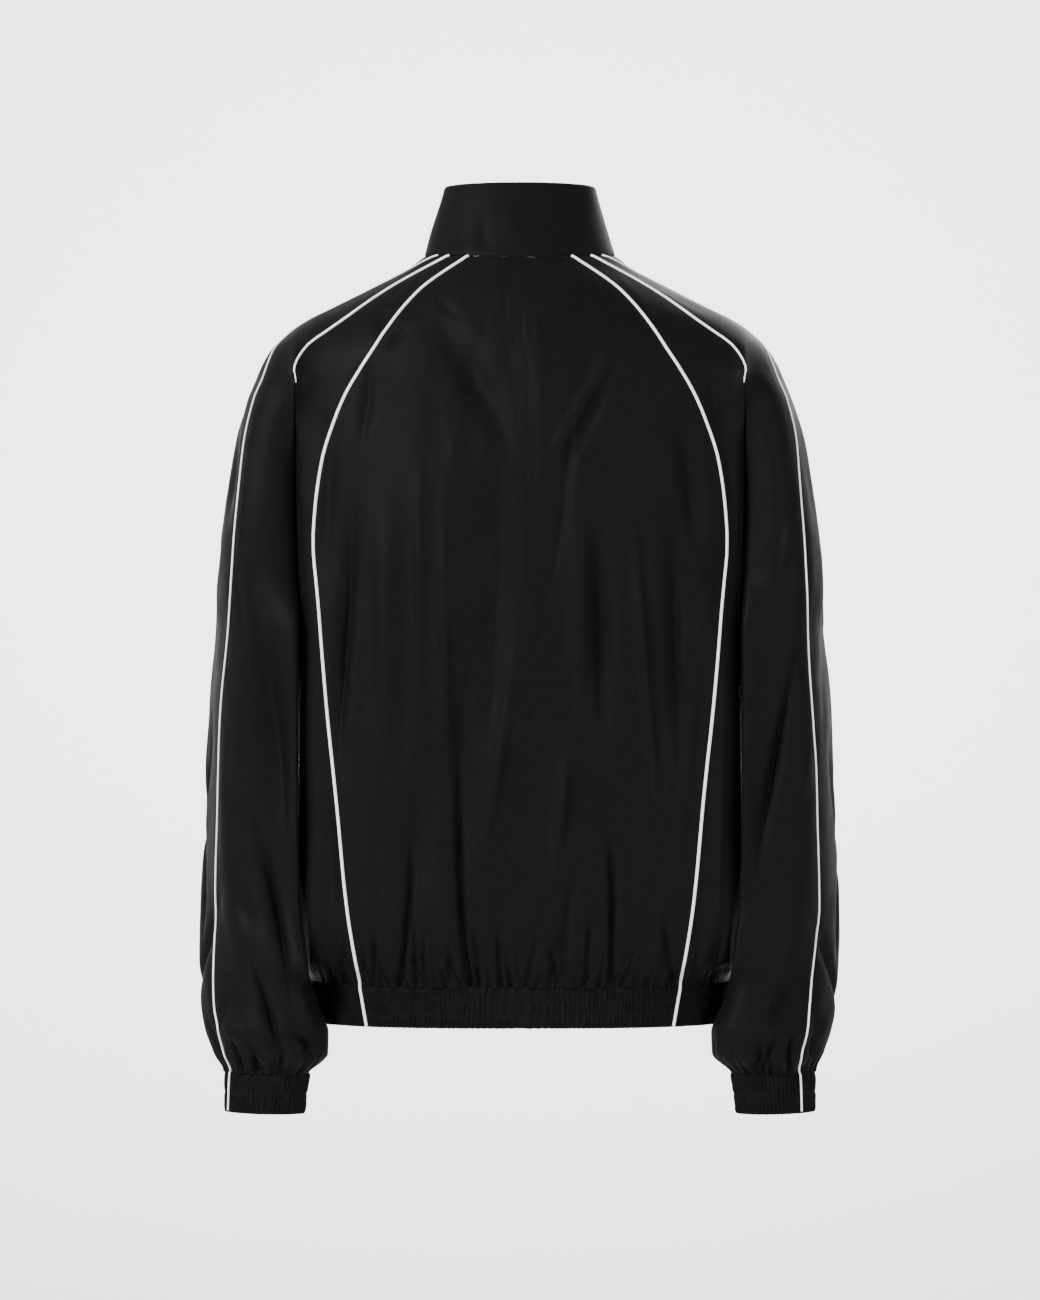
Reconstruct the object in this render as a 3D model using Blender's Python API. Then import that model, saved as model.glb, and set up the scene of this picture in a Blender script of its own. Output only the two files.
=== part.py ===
"""Track jacket in woven cloth, zipped up and filled out as if worn, with no wearer in it.

Frame: metres, +Z up. The front faces -Y, the back +Y and the wearer's left is +X. The origin is on the
axis of the neck, level with the collar seam at the centre back. A "drop" is a distance in millimetres
below that level. Sizes in tables are in millimetres too.

Each wall is a grid: rows run down the garment and columns run round it, from seam to seam. Above the
underarm a row is one loop round both shoulders. Below it, the body and the sleeves have loops of their own.
"""

import math

import bmesh
import bpy
import numpy as np
from mathutils import Matrix, Vector

MM = 0.001

CLOTH_THICK = 1.5
COLLAR_THICK = 2.0
BAND_THICK = 2.0
SEAM_GAP = 0.3
INNER_SEAM_GAP = 0.6
ARMHOLE_GAP = 0.3
PIPING_LIFT = 0.7
ZIP_HALF_GAP = 4.5

UNDERARM_DROP = 280.0
HEM_SEAM_DROP = 657.0
HEM_DROP = 694.0
CUFF_SEAM_DROP = 736.0
CUFF_DROP = 772.0

NECK_SIDE_RISE = 6.0
NECK_FRONT_FALL = 75.0
NECK_FADE_DROP = 165.0
SHOULDER_ROUNDNESS = 2.1
ARMHOLE_START_DROP = 55.0
ARMHOLE_FULL_DROP = 130.0
SIDE_HOLLOW_SPREAD = 44.0

TAPE_HALF_WIDTH = 13.0
TAPE_FRONT = 2.5
TAPE_THICK = 0.9
CHAIN_HALF_WIDTH = 2.5
BOX_LENGTH = 10.0
SLIDER_LENGTH = 11.0
SLIDER_TOP = 2.4
SLIDER_BELOW_TOP = 13.0
BAIL = {"half_width": 0.8, "half_length": 3.6, "rise": 3.0, "slot_half_length": 2.6, "slot_rise": 2.0}
PULL_LENGTH = 30.0
PULL = {"half_width": 3.2, "half_thick": 0.6, "eye_half_width": 1.9, "eye_from": -6.2, "eye_to": -0.6}
SIDES = ((1, "_left"), (-1, "_right"))

SLEEVE_LEAST_HALF = 12.0
RIDGE_SEARCH_STEPS = 361
COLLAR_COLUMNS = 32
COLLAR_ZIP_RISES = (-0.33, -0.66, -0.97)

BAND_WAVES = 72
CUFF_WAVES = 20
BAND_WAVE_HEIGHT = 1.0
HEM_BAND_MIDDLE = 675.0
CUFF_MIDDLE = 754.0
COLLAR_FOOT_RISE = -0.0025

PIPING_HALF_WIDTH = 2.0
PIPING_TOP_HALF_WIDTH = 1.0
PIPING_HEIGHT = 1.5
GATHERED_PIPING_LIFT = 0.6
RAGLAN_PIPING_END_DROP = 126.0
PRINCESS_PIPING_END_DROP = 650.0
RIDGE_PIPING_END_DROP = 727.0
PIPING_PAST_SEAM = 1.0
PIPING_SHORT_OF_EDGE = 0.5


def table(columns, *rows):
    """A table with named columns, whose first column is the drop that the others are read at."""
    return dict(zip(columns.split(), np.array(rows, float).T))


OUTLINE = table(
    "drop half_width",
    (-6, 88), (6, 103), (24.5, 137.5), (43, 174.5), (52, 193), (61, 207), (70.5, 217.5), (80, 227),
    (89, 233), (107, 242), (126, 249.5), (162, 261), (199, 267), (254, 274.5), (280, 277),
)

BODY = table(
    "drop half_width side_hollow hollow_y back front roundness",
    (0, 209, 0, 0, 75, 85, 2.5),
    (10, 209, 0, 0, 84, 90, 2.5),
    (33, 209, 0, 0, 100, 98, 2.5),
    (57, 209, 0, 0, 110.5, 104, 2.5),
    (100, 209, 2, 0, 121.5, 112, 2.5),
    (150, 209, 6, 0, 131, 120, 2.5),
    (220, 209, 9, 0, 138, 127, 2.6),
    (280, 207, 9.5, 0, 139, 131, 2.7),
    (340, 207.5, 9.5, 22, 138.5, 132, 3.0),
    (410, 207.5, 7.5, 34, 137, 132, 3.2),
    (500, 207, 6.5, 46, 137, 131, 3.3),
    (590, 205.5, 5.5, 56, 138, 130, 3.2),
    (632, 202, 5, 64, 134, 127, 3.0),
    (657, 193, 2, 66, 119, 115, 2.8),
    (694, 192, 1, 66, 117, 113, 2.8),
)

SLEEVE = table(
    "drop inner outer long_half tilt centre_y roundness",
    (0, 185, 215, 45, 0, 0, 2),
    (60, 195, 225, 58, 0, 0, 2),
    (100, 199.5, 240, 70, 0, 0, 2),
    (140, 199.5, 254.5, 79, 0, 0, 2),
    (180, 199.5, 264, 85, 0, 0, 2),
    (230, 199.5, 271.5, 89.5, 0, 0, 2.1),
    (280, 199.5, 277, 90.5, 0, 0, 2.3),
    (340, 200.2, 282, 88, 8, 9, 2.6),
    (420, 200.6, 289, 81, 11, 13, 2.8),
    (500, 200.8, 291, 74, 15, 22, 2.7),
    (580, 199, 293, 69, 24, 38, 2.4),
    (635, 192.5, 292, 66, 36, 56, 2.2),
    (675, 181, 288.5, 63, 50, 70, 2),
    (700, 171.5, 283, 60, 60, 77, 2),
    (718, 172, 275.5, 55, 63, 79, 2),
    (736, 189.5, 266, 40.5, 66, 80, 2),
    (772, 195, 266, 37.5, 66, 80, 2),
)

SEAMS = table(
    "drop princess_x raglan_x front_raglan_x armhole_back armhole_front",
    (0, 46.6, 64, 68, 80, 80),
    (33, 91, 122, 118, 80, 80),
    (69, 120.7, 172.5, 170, 80, 80),
    (85, 131, 194, 190, 78, 78),
    (103, 143, 205, 204, 72, 72),
    (125, 156, 205, 205, 61, 62),
    (145, 165, 203, 203, 51, 54),
    (186, 178.5, 201, 201, 38, 42),
    (230, 184.5, 200, 200, 31, 34),
    (256, 186, 200, 200, 24, 25),
    (269, 185.7, 200, 200, 16, 16.5),
    (277, 185.3, 200, 200, 7, 7),
    (280, 185, 200, 200, 0, 0),
    (311, 182.7, 200, 200, 0, 0),
    (400, 174.3, 200, 200, 0, 0),
    (490, 164.5, 200, 200, 0, 0),
    (579, 155.5, 200, 200, 0, 0),
    (632, 147.7, 200, 200, 0, 0),
    (694, 137, 200, 200, 0, 0),
)

RIDGE = table(
    "drop shoulder_angle from_left_edge from_right_edge",
    (0, 57, 1, 1), (6, 68, 1, 1), (14, 77, 1, 1), (26, 84, 1, 1), (50, 88, 2, 2), (70, 86, 3, 3),
    (85, 79, 5, 4.5), (100, 72, 7, 6), (125, 60, 9, 8), (160, 60, 12, 11), (200, 60, 14, 15), (240, 60, 16, 18),
    (310, 60, 18, 21), (400, 60, 17.5, 25), (490, 60, 17, 23), (585, 60, 17, 23), (655, 60, 14, 29),
    (690, 60, 12, 27), (715, 60, 9, 24), (736, 60, 6, 15.5), (772, 60, 4.5, 14),
)

COLLAR_TOP = {"half_width": 69.5, "back": 45, "front": 73, "back_rise": 69, "side_rise": 61, "front_rise": 63}

FOLDS = table(
    "top_drop top_x low_drop low_x half_width height facing",
    (70, 62, 185, 14, 15, -5, 1),
    (190, 14, 330, 26, 13, -3, 1),
    (222, 150, 445, 162, 11, -5, 1),
    (275, -103, 534, -130, 9, 4, 1),
    (300, -70, 520, -84, 12, -4, 1),
    (330, 60, 500, 84, 16, -4, 1),
    (525, 96, 655, 97, 8, -5, 1),
    (525, 55, 655, 40, 9, -5, 1),
    (500, 4, 655, 10, 9, -4, 1),
    (525, -81, 655, -80, 8, -5, 1),
    (560, -34, 655, -30, 8, -4, 1),
    (540, 128, 655, 122, 8, -4, 1),
    (150, -120, 300, -168, 13, -4, 1),
    (240, 250, 430, 212, 10, -5, 1),
    (490, 240, 668, 198, 10, -5, 1),
    (600, 262, 715, 214, 9, -4, 1),
    (240, -268, 520, -222, 10, -5, 1),
    (430, -262, 640, -216, 10, -5, 1),
    (600, -240, 716, -196, 9, -4, 1),
    (150, 60, 330, 108, 15, -4, -1),
    (160, -66, 360, -96, 14, -5, -1),
    (330, 128, 520, 92, 12, -4, -1),
    (380, -130, 560, -118, 11, -4, -1),
    (500, 66, 655, 74, 9, -5, -1),
    (530, -48, 655, -58, 9, -5, -1),
    (520, 140, 655, 132, 9, -4, -1),
    (540, -130, 655, -124, 8, -4, -1),
    (250, 262, 460, 232, 10, -5, -1),
    (500, 272, 690, 236, 10, -4, -1),
    (270, -266, 470, -230, 10, -5, -1),
    (520, -272, 690, -232, 10, -4, -1),
)

ARMHOLE_ROWS = (0, 10, 21, 34, 47, 61, 76, 92, 108, 126, 146, 168, 192, 216, 238, 256, 269, 277, 280)
BODY_ROWS = ARMHOLE_ROWS + (300, 340, 390, 440, 490, 540, 585, 614, 635, 648, 657)
SLEEVE_ROWS = ARMHOLE_ROWS + (300, 340, 385, 435, 490, 540, 585, 620, 650, 675, 695, 712, 726, 736)
BODY_GATHER_ROWS = {635: 0.35, 648: 1.0, 657: 0.8}
SLEEVE_GATHER_ROWS = {712: 0.4, 726: 1.0, 736: 0.7}
GATHER_LOW, GATHER_SPREAD = 1.6, 3.2

PANEL_BEND_WEIGHT = 50.0
PANELS = {
    "back_centre": {"group": "body", "start": "princess_far", "end": "princess", "columns": 14},
    "back_side": {"group": "body", "start": "princess", "end": "armhole_back", "columns": 7},
    "front": {"group": "body", "start": "armhole_front", "end": "centre_front", "columns": 10},
    "sleeve_back": {"group": "sleeve", "start": "armhole_back", "end": "ridge", "columns": 8},
    "sleeve_front": {"group": "sleeve", "start": "ridge", "end": "armhole_front", "columns": 10},
}


def read(rows, name, drop):
    """A column of a table at one drop, on a smooth curve that doesn't overshoot between its rows."""
    drops, values = rows["drop"], rows[name]
    if drop <= drops[0] or drop >= drops[-1]:
        return float(values[0] if drop <= drops[0] else values[-1])
    steps = np.diff(drops)
    slopes = np.diff(values) / steps
    i = int(np.searchsorted(drops, drop, side="right")) - 1

    def tangent(k):
        if k == 0 or k == len(drops) - 1:
            return slopes[0] if k == 0 else slopes[-1]
        before, after = slopes[k - 1], slopes[k]
        if before * after <= 0:
            return 0.0
        lean_before, lean_after = 2 * steps[k] + steps[k - 1], steps[k] + 2 * steps[k - 1]
        return (lean_before + lean_after) / (lean_before / before + lean_after / after)

    t = (drop - drops[i]) / steps[i]
    start, end = values[i], values[i + 1]
    bend = (2 * t**3 - 3 * t**2 + 1) * start + (3 * t**2 - 2 * t**3) * end
    lean = (t**3 - 2 * t**2 + t) * tangent(i) + (t**3 - t**2) * tangent(i + 1)
    return float(bend + lean * steps[i])


def ease(start, end, value):
    """0 before start, 1 after end and a smooth rise between."""
    t = np.clip((value - start) / (end - start), 0, 1)
    return t * t * (3 - 2 * t)


def power(value, exponent):
    return np.sign(value) * np.abs(value) ** exponent


def oval(half_width, back, front, roundness, angle):
    """A rounded oval, from the centre back at 0 degrees through the wearer's left at 90 to the front at 180."""
    across, along = np.sin(np.radians(angle)), np.cos(np.radians(angle))
    depth = np.where(along >= 0, back, front)
    exponent = 2 / roundness
    return half_width * power(across, exponent), depth * power(along, exponent)


def oval_angle(x, half_width, roundness):
    return math.degrees(math.asin(min(1.0, x / half_width) ** (roundness / 2)))


def depth_angle(y, depth, roundness):
    return math.degrees(math.acos(min(1.0, y / depth) ** (roundness / 2)))


def neck_fade(drop):
    return 1 - ease(0, NECK_FADE_DROP, drop)


def neck_lift(angle):
    """How far the neckline stands above (or, in front, below) the level of the centre back."""
    side = NECK_SIDE_RISE * np.sin(np.radians(angle)) ** 2
    front = np.clip(-np.cos(np.radians(angle)), 0, 1) ** 1.5
    return side - NECK_FRONT_FALL * front


def shoulder_half_width(drop):
    return read(OUTLINE, "half_width", drop - NECK_SIDE_RISE * neck_fade(drop))


def shoulder_loop(drop, angle):
    back, front = read(BODY, "back", drop), read(BODY, "front", drop)
    return oval(shoulder_half_width(drop), back, front, SHOULDER_ROUNDNESS, angle)


def body_loop(drop, angle):
    """The body's own loop, pressed in behind its sides, where the sleeves hang against it."""
    back, front = read(BODY, "back", drop), read(BODY, "front", drop)
    x, y = oval(read(BODY, "half_width", drop), back, front, read(BODY, "roundness", drop), angle)
    off = (y - read(BODY, "hollow_y", drop)) / SIDE_HOLLOW_SPREAD
    hollow = read(BODY, "side_hollow", drop) * np.exp(-(off**2))
    return x - hollow * power(np.sin(np.radians(angle)), 3), y


def sleeve_section(drop):
    """Centre, half axes and tilt of the sleeve's oval, from the inner and outer edges in the outline."""
    outer = read(OUTLINE, "half_width", drop) if drop < UNDERARM_DROP else read(SLEEVE, "outer", drop)
    inner = min(read(SLEEVE, "inner", drop), outer - 2 * SLEEVE_LEAST_HALF)
    tilt, roundness = math.radians(read(SLEEVE, "tilt", drop)), read(SLEEVE, "roundness", drop)
    half, spread = (outer - inner) / 2, roundness / (roundness - 1)
    long_half = read(SLEEVE, "long_half", drop)
    long_reach = long_half * math.sin(tilt)
    short_reach = (half**spread - long_reach**spread) ** (1 / spread)
    turns = [(reach / half) ** (spread / 2) for reach in (long_reach, short_reach)]
    return {
        "x": (inner + outer) / 2, "y": read(SLEEVE, "centre_y", drop), "tilt": tilt, "roundness": roundness,
        "long_half": long_half, "short_half": short_reach / math.cos(tilt),
        "edge": math.degrees(math.atan2(*turns)), "outer": outer,
    }


def sleeve_loop(drop, angle):
    cut = sleeve_section(drop)
    along, across = np.cos(np.radians(angle)), np.sin(np.radians(angle))
    along = cut["long_half"] * power(along, 2 / cut["roundness"])
    across = cut["short_half"] * power(across, 2 / cut["roundness"])
    x = cut["x"] - along * math.sin(cut["tilt"]) + across * math.cos(cut["tilt"])
    return x, cut["y"] + along * math.cos(cut["tilt"]) + across * math.sin(cut["tilt"])


def shoulder_angle(seam, drop, side):
    """Where a seam crosses the loop round the shoulders."""
    half = shoulder_half_width(drop)
    if seam == "ridge":
        return read(RIDGE, "shoulder_angle", drop)
    if seam in ("princess", "princess_far"):
        angle = oval_angle(read(SEAMS, "princess_x", drop), half, SHOULDER_ROUNDNESS)
        return angle if seam == "princess" else -angle
    if seam == "armhole_back":
        return oval_angle(read(SEAMS, "raglan_x", drop), half, SHOULDER_ROUNDNESS)
    if seam == "armhole_front":
        return 180 - oval_angle(read(SEAMS, "front_raglan_x", drop), half, SHOULDER_ROUNDNESS)
    return 180 - oval_angle(ZIP_HALF_GAP, half, SHOULDER_ROUNDNESS)


def body_angle(seam, drop, side):
    half, roundness = read(BODY, "half_width", drop), read(BODY, "roundness", drop)
    if seam in ("princess", "princess_far"):
        angle = oval_angle(read(SEAMS, "princess_x", drop), half, roundness)
        return angle if seam == "princess" else -angle
    if seam == "armhole_back":
        return depth_angle(read(SEAMS, "armhole_back", drop), read(BODY, "back", drop), roundness)
    if seam == "armhole_front":
        return 180 - depth_angle(read(SEAMS, "armhole_front", drop), read(BODY, "front", drop), roundness)
    return 180 - oval_angle(ZIP_HALF_GAP, half, roundness)


def sleeve_angle(seam, drop, side):
    cut = sleeve_section(drop)
    if seam == "ridge":
        from_edge = read(RIDGE, "from_left_edge" if side > 0 else "from_right_edge", drop)
        behind = np.linspace(cut["edge"] - 90, cut["edge"] + 90, RIDGE_SEARCH_STEPS)
        return float(np.interp(cut["outer"] - from_edge, sleeve_loop(drop, behind)[0], behind))
    if drop >= UNDERARM_DROP:
        return cut["edge"] + (-90 if seam == "armhole_back" else 270)
    turn = depth_angle(read(SEAMS, seam, drop), cut["long_half"], cut["roundness"])
    return -turn if seam == "armhole_back" else 180 + turn


GROUPS = {"body": (body_loop, body_angle), "sleeve": (sleeve_loop, sleeve_angle)}


def armhole_point(seam, drop):
    """The point that the body and the sleeve share, halfway between the ends of their loops."""
    ends = [loop(drop, np.array([angle(seam, drop, 1)])) for loop, angle in GROUPS.values()]
    return np.mean(ends, axis=0)[:, 0]


def section(panel, side, drop, fraction):
    """Points of one row of a panel, as on the wearer's left, and the shoulder angle of each."""
    loop, angle = GROUPS[panel["group"]]
    start, end = panel["start"], panel["end"]

    def between(angle_of):
        first, last = angle_of(start, drop, side), angle_of(end, drop, side)
        return first + (last - first) * fraction

    own, shared = between(angle), between(shoulder_angle)
    points = np.array(loop(drop, own))
    if drop < UNDERARM_DROP:
        for seam, nearness in ((start, 1 - fraction), (end, fraction)):
            if seam.startswith("armhole"):
                own_end = np.array(loop(drop, np.array([angle(seam, drop, side)])))[:, 0]
                miss = armhole_point(seam, drop) - own_end
                points = points + miss[:, None] * nearness**3
    amount = ease(ARMHOLE_START_DROP, ARMHOLE_FULL_DROP, drop)
    points = points * amount + np.array(shoulder_loop(drop, shared)) * (1 - amount)
    return points, shared


def fold_height(side, x, drop, toward_back):
    """The height of the large folds at points of a row: negative in a trough."""
    height = np.zeros_like(x)
    for top_drop, top_x, low_drop, low_x, half_width, fold, facing in zip(*FOLDS.values()):
        t = (drop - top_drop) / (low_drop - top_drop)
        if not 0 < t < 1.001:
            continue
        ends_at_hem = 645 < low_drop < 665
        reach = ease(0, 0.5, t) if ends_at_hem else math.sin(math.pi * min(t, 1.0)) ** 0.6
        middle = top_x + (low_x - top_x) * t
        faces = np.clip(toward_back * facing * 1.6, 0, 1)
        height += fold * reach * faces * np.exp(-(((side * x - middle) / half_width) ** 2))
    return height


def surface(panel, side, drop, fraction):
    """Outer points of a panel at one drop, in millimetres, with the large folds, for one side of the wearer."""
    step = 1e-3
    points, shared = section(panel, side, drop, fraction)
    ahead, _ = section(panel, side, drop, np.minimum(fraction + step, 1))
    behind, _ = section(panel, side, drop, np.maximum(fraction - step, 0))
    run = ahead - behind
    out = np.array((-run[1], run[0])) / np.hypot(*run)
    height = fold_height(side, points[0], drop, out[1])
    x, y = points + out * height
    z = -drop + neck_lift(shared) * neck_fade(drop)
    return np.stack((x * side, y, z), axis=1)


def normals(shape, side, drop, fraction, lowest, highest):
    """Unit normals of a shape(drop, fraction), pointing out of the garment."""
    step = 2e-3
    across = shape(drop, np.minimum(fraction + step, 1)) - shape(drop, np.maximum(fraction - step, 0))
    down = shape(min(drop + 1, highest), fraction) - shape(max(drop - 1, lowest), fraction)
    found = np.cross(across, down) * side
    return found / np.linalg.norm(found, axis=1)[:, None]


def panel_rows(panel):
    return BODY_ROWS if panel["group"] == "body" else SLEEVE_ROWS


def gather_height(index, seed):
    """Gathers differ from one another: the height of the one at this column."""
    return GATHER_LOW + GATHER_SPREAD * abs(math.sin(1.7 * index + 0.9 * seed) * math.cos(0.6 * index + seed))


def shifted_ends(points, gap):
    """The same row with its first and last points moved in, to leave half the seam gap."""
    moved = points.copy()
    for end, beside in ((0, 1), (-1, -2)):
        inward = points[beside] - points[end]
        moved[end] += inward / np.linalg.norm(inward) * gap / 2
    return moved


def panel_grid(panel, side):
    """Outer and inner rows of a panel's wall. Gathers are raised in the outer rows alone."""
    rows = panel_rows(panel)
    gathers = BODY_GATHER_ROWS if panel["group"] == "body" else SLEEVE_GATHER_ROWS
    outer, inner = [], []
    for row in rows:
        edge = {rows[0]: SEAM_GAP / 2, rows[-1]: -SEAM_GAP / 2}.get(row, 0)
        drop = row + edge

        def shape(at_drop, fraction):
            return surface(panel, side, at_drop, fraction)

        def off_seam(points, fraction):
            """Parts the body from the sleeve where they turn back to back at the armhole."""
            amount = ease(ARMHOLE_START_DROP, ARMHOLE_FULL_DROP, drop) * (drop <= UNDERARM_DROP + 20)
            toward = side * (1 if panel["group"] == "sleeve" else -1)
            for seam, nearness in ((panel["start"], 1 - fraction), (panel["end"], fraction)):
                if seam.startswith("armhole"):
                    points[:, 0] += toward * ARMHOLE_GAP * amount * nearness**8
            return points

        def plain_row(at_drop, fraction):
            return section(panel, side, at_drop, fraction)[0].T

        fine = even_fractions(plain_row, drop, 2 * panel["columns"], PANEL_BEND_WEIGHT)
        coarse = fine[::2]
        plain = off_seam(shape(drop, coarse), coarse)
        facing = normals(shape, side, drop, coarse, rows[0], rows[-1])
        inner.append(shifted_ends(plain - CLOTH_THICK * facing, INNER_SEAM_GAP))
        if row not in gathers:
            outer.append(shifted_ends(plain, SEAM_GAP))
            continue
        points = off_seam(shape(drop, fine), fine)
        facing = normals(shape, side, drop, fine, rows[0], rows[-1])
        seed = 3 * side + len(panel["start"])
        heights = [gather_height(i, seed) * (i % 2) * gathers[row] for i in range(len(fine))]
        outer.append(shifted_ends(points + facing * np.array(heights)[:, None], SEAM_GAP))
    return outer, inner


def even_fractions(shape, drop, count, bend_weight=0.0):
    """Fractions that cut a row of a shape(drop, fraction) evenly, and closer where the row bends."""
    dense = np.linspace(0, 1, 601)
    steps = np.diff(shape(drop, dense), axis=0)
    lengths = np.linalg.norm(steps, axis=1)
    headings = np.unwrap(np.arctan2(steps[:, 1], steps[:, 0]))
    turned = np.abs(np.gradient(headings)) * bend_weight
    measure = np.concatenate(([0], np.cumsum(lengths + turned)))
    return np.interp(np.linspace(0, measure[-1], count + 1), measure, dense)


def zip_edge_angle(half_width, roundness):
    return 180 - oval_angle(ZIP_HALF_GAP, half_width, roundness)


def hem_band_shape(drop, fraction):
    edge = zip_edge_angle(read(BODY, "half_width", drop), read(BODY, "roundness", drop))
    x, y = body_loop(drop, edge * (1 - 2 * fraction) * -1)
    return np.stack((x, y, np.full_like(x, -drop)), axis=1)


def cuff_shape(side):
    def shape(drop, fraction):
        start = sleeve_angle("armhole_back", drop, side)
        x, y = sleeve_loop(drop, start + 360 * fraction)
        return np.stack((x * side, y, np.full_like(x, -drop)), axis=1)

    return shape


def collar_shape(rise, fraction):
    """The collar, where rise runs from -1 at its top edge to 0 at the neck seam."""
    height = -rise
    top = COLLAR_TOP
    base_half = shoulder_half_width(0)
    edge = zip_edge_angle(base_half, SHOULDER_ROUNDNESS)
    angle = edge * (2 * fraction - 1)
    half = base_half + (top["half_width"] - base_half) * height
    back = read(BODY, "back", 0) + (top["back"] - read(BODY, "back", 0)) * height
    front = read(BODY, "front", 0) + (top["front"] - read(BODY, "front", 0)) * height
    x, y = oval(half, back, front, SHOULDER_ROUNDNESS, angle)
    across, along = np.sin(np.radians(angle)) ** 2, np.cos(np.radians(angle))
    tall = np.where(along >= 0, top["back_rise"], top["front_rise"]) * (1 - across) + top["side_rise"] * across
    return np.stack((x, y, neck_lift(angle) + tall * height), axis=1)


def ring_grid(shape, side, rows, waves, wave_height, thick, closed):
    """Outer and inner rows of a band: elastic waves are raised outside, and the inside is plain."""
    outer, inner = [], []
    for row in rows:
        fraction = even_fractions(shape, row, 2 * waves)
        facing = normals(shape, side, row, fraction, rows[0], rows[-1])
        points = shape(row, fraction)
        heights = wave_height * (np.arange(2 * waves + 1) % 2)
        raised = points + facing * heights[:, None]
        plain = (points - thick * facing)[:: 2 if wave_height else 1]
        outer.append(raised[:-1] if closed else raised)
        inner.append(plain[:-1] if closed else plain)
    return outer, inner


def stitch(first, second):
    """Triangles between two chains of vertex numbers that run side by side."""
    faces, i, j = [], 0, 0
    while i < len(first) - 1 or j < len(second) - 1:
        next_first = (i + 1) / (len(first) - 1)
        next_second = (j + 1) / (len(second) - 1)
        if j == len(second) - 1 or (i < len(first) - 1 and next_first <= next_second + 1e-9):
            faces.append((first[i], first[i + 1], second[j]))
            i += 1
        else:
            faces.append((first[i], second[j + 1], second[j]))
            j += 1
    return faces


def wall_mesh(outer, inner, closed=False):
    """Vertices and faces of a wall between outer and inner rows."""
    points, chains = [], []
    for row in outer + inner:
        chain = list(range(len(points), len(points) + len(row)))
        points.extend(row)
        chains.append(chain + chain[:1] if closed else chain)
    outer_chains, inner_chains = chains[: len(outer)], chains[len(outer) :]
    pairs = list(zip(outer_chains, outer_chains[1:])) + list(zip(inner_chains[1:], inner_chains))
    pairs += [(inner_chains[0], outer_chains[0]), (outer_chains[-1], inner_chains[-1])]
    if not closed:
        for end in (0, -1):
            edge = [chain[end] for chain in outer_chains], [chain[end] for chain in inner_chains]
            pairs.append(edge if end else edge[::-1])
    return points, [face for first, second in pairs for face in stitch(first, second)]


def strip_mesh(sections):
    """Vertices and faces of a bar that runs through closed cross-sections, with its ends capped."""
    count = len(sections[0])
    points = [point for cut in sections for point in cut]
    faces = [tuple(range(count))[::-1], tuple(range(len(points) - count, len(points)))]
    for k in range(len(sections) - 1):
        for i in range(count):
            a, b = k * count + i, k * count + (i + 1) % count
            faces.append((a, b, b + count, a + count))
    return points, faces


def material(name, colour, roughness, metallic=0.0):
    made = bpy.data.materials.new(name)
    made.use_nodes = True
    shader = made.node_tree.nodes["Principled BSDF"]
    shader.inputs["Base Color"].default_value = (*colour, 1)
    shader.inputs["Roughness"].default_value = roughness
    shader.inputs["Metallic"].default_value = metallic
    made.diffuse_color = (*colour, 1)
    return made


def solid(name, points, faces, finish):
    """A named object from points in millimetres, with its faces pointing out."""
    mesh = bpy.data.meshes.new(name)
    mesh.from_pydata([tuple(np.array(point) * MM) for point in points], [], faces)
    shaper = bmesh.new()
    shaper.from_mesh(mesh)
    bmesh.ops.recalc_face_normals(shaper, faces=shaper.faces)
    shaper.to_mesh(mesh)
    shaper.free()
    mesh.materials.append(finish)
    mesh.shade_smooth()
    mesh.set_sharp_from_angle(angle=math.radians(50))
    made = bpy.data.objects.new(name, mesh)
    bpy.context.scene.collection.objects.link(made)
    return made


def piping_section(seam, left, right, out, lift):
    """Cross-section of the piping over one point of a seam, with its base along the cloth on both sides."""
    cut = []
    for beside, half_width, height in (
        (left, PIPING_HALF_WIDTH, 0), (seam, 0, 0), (right, PIPING_HALF_WIDTH, 0),
        (right, PIPING_TOP_HALF_WIDTH, PIPING_HEIGHT), (left, PIPING_TOP_HALF_WIDTH, PIPING_HEIGHT),
    ):
        away = beside - seam
        length = np.linalg.norm(away)
        cut.append(seam + (away / length * half_width if length else 0) + out * (lift + height))
    return cut


def seam_piping(before, after, rows, last_drop, side):
    """Sections of piping along the seam where one panel's last column meets the next panel's first."""
    sections = []
    for k, row in enumerate(rows):
        if row > last_drop:
            break
        seam = (before[k][-1] + after[k][0]) / 2
        left, right = before[k][-2], after[k][1]
        down = before[min(k + 1, len(rows) - 1)][-1] - before[max(k - 1, 0)][-1]
        out = np.cross(right - left, down) * side
        lift = PIPING_LIFT + (GATHERED_PIPING_LIFT if row >= HEM_SEAM_DROP else 0)
        sections.append(piping_section(seam, left, right, out / np.linalg.norm(out), lift))
    return sections


def ring_piping(shape, side, rows, fraction_at, lift):
    """Sections of piping down a band, clear of its waves."""
    sections = []
    for row in rows:
        middle = fraction_at(row)
        fractions = np.array((middle - 0.004, middle, middle + 0.004))
        left, seam, right = shape(row, fractions)
        out = normals(shape, side, row, fractions, rows[0], rows[-1])[1]
        sections.append(piping_section(seam, left, right, out, lift))
    return sections


def point_at_x(row, x):
    """The point of a row that ends at the zip, at this distance from the centre front."""
    near = row[-4:][::-1]
    return np.array([x] + [np.interp(x, near[:, 0], near[:, k]) for k in (1, 2)])


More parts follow.
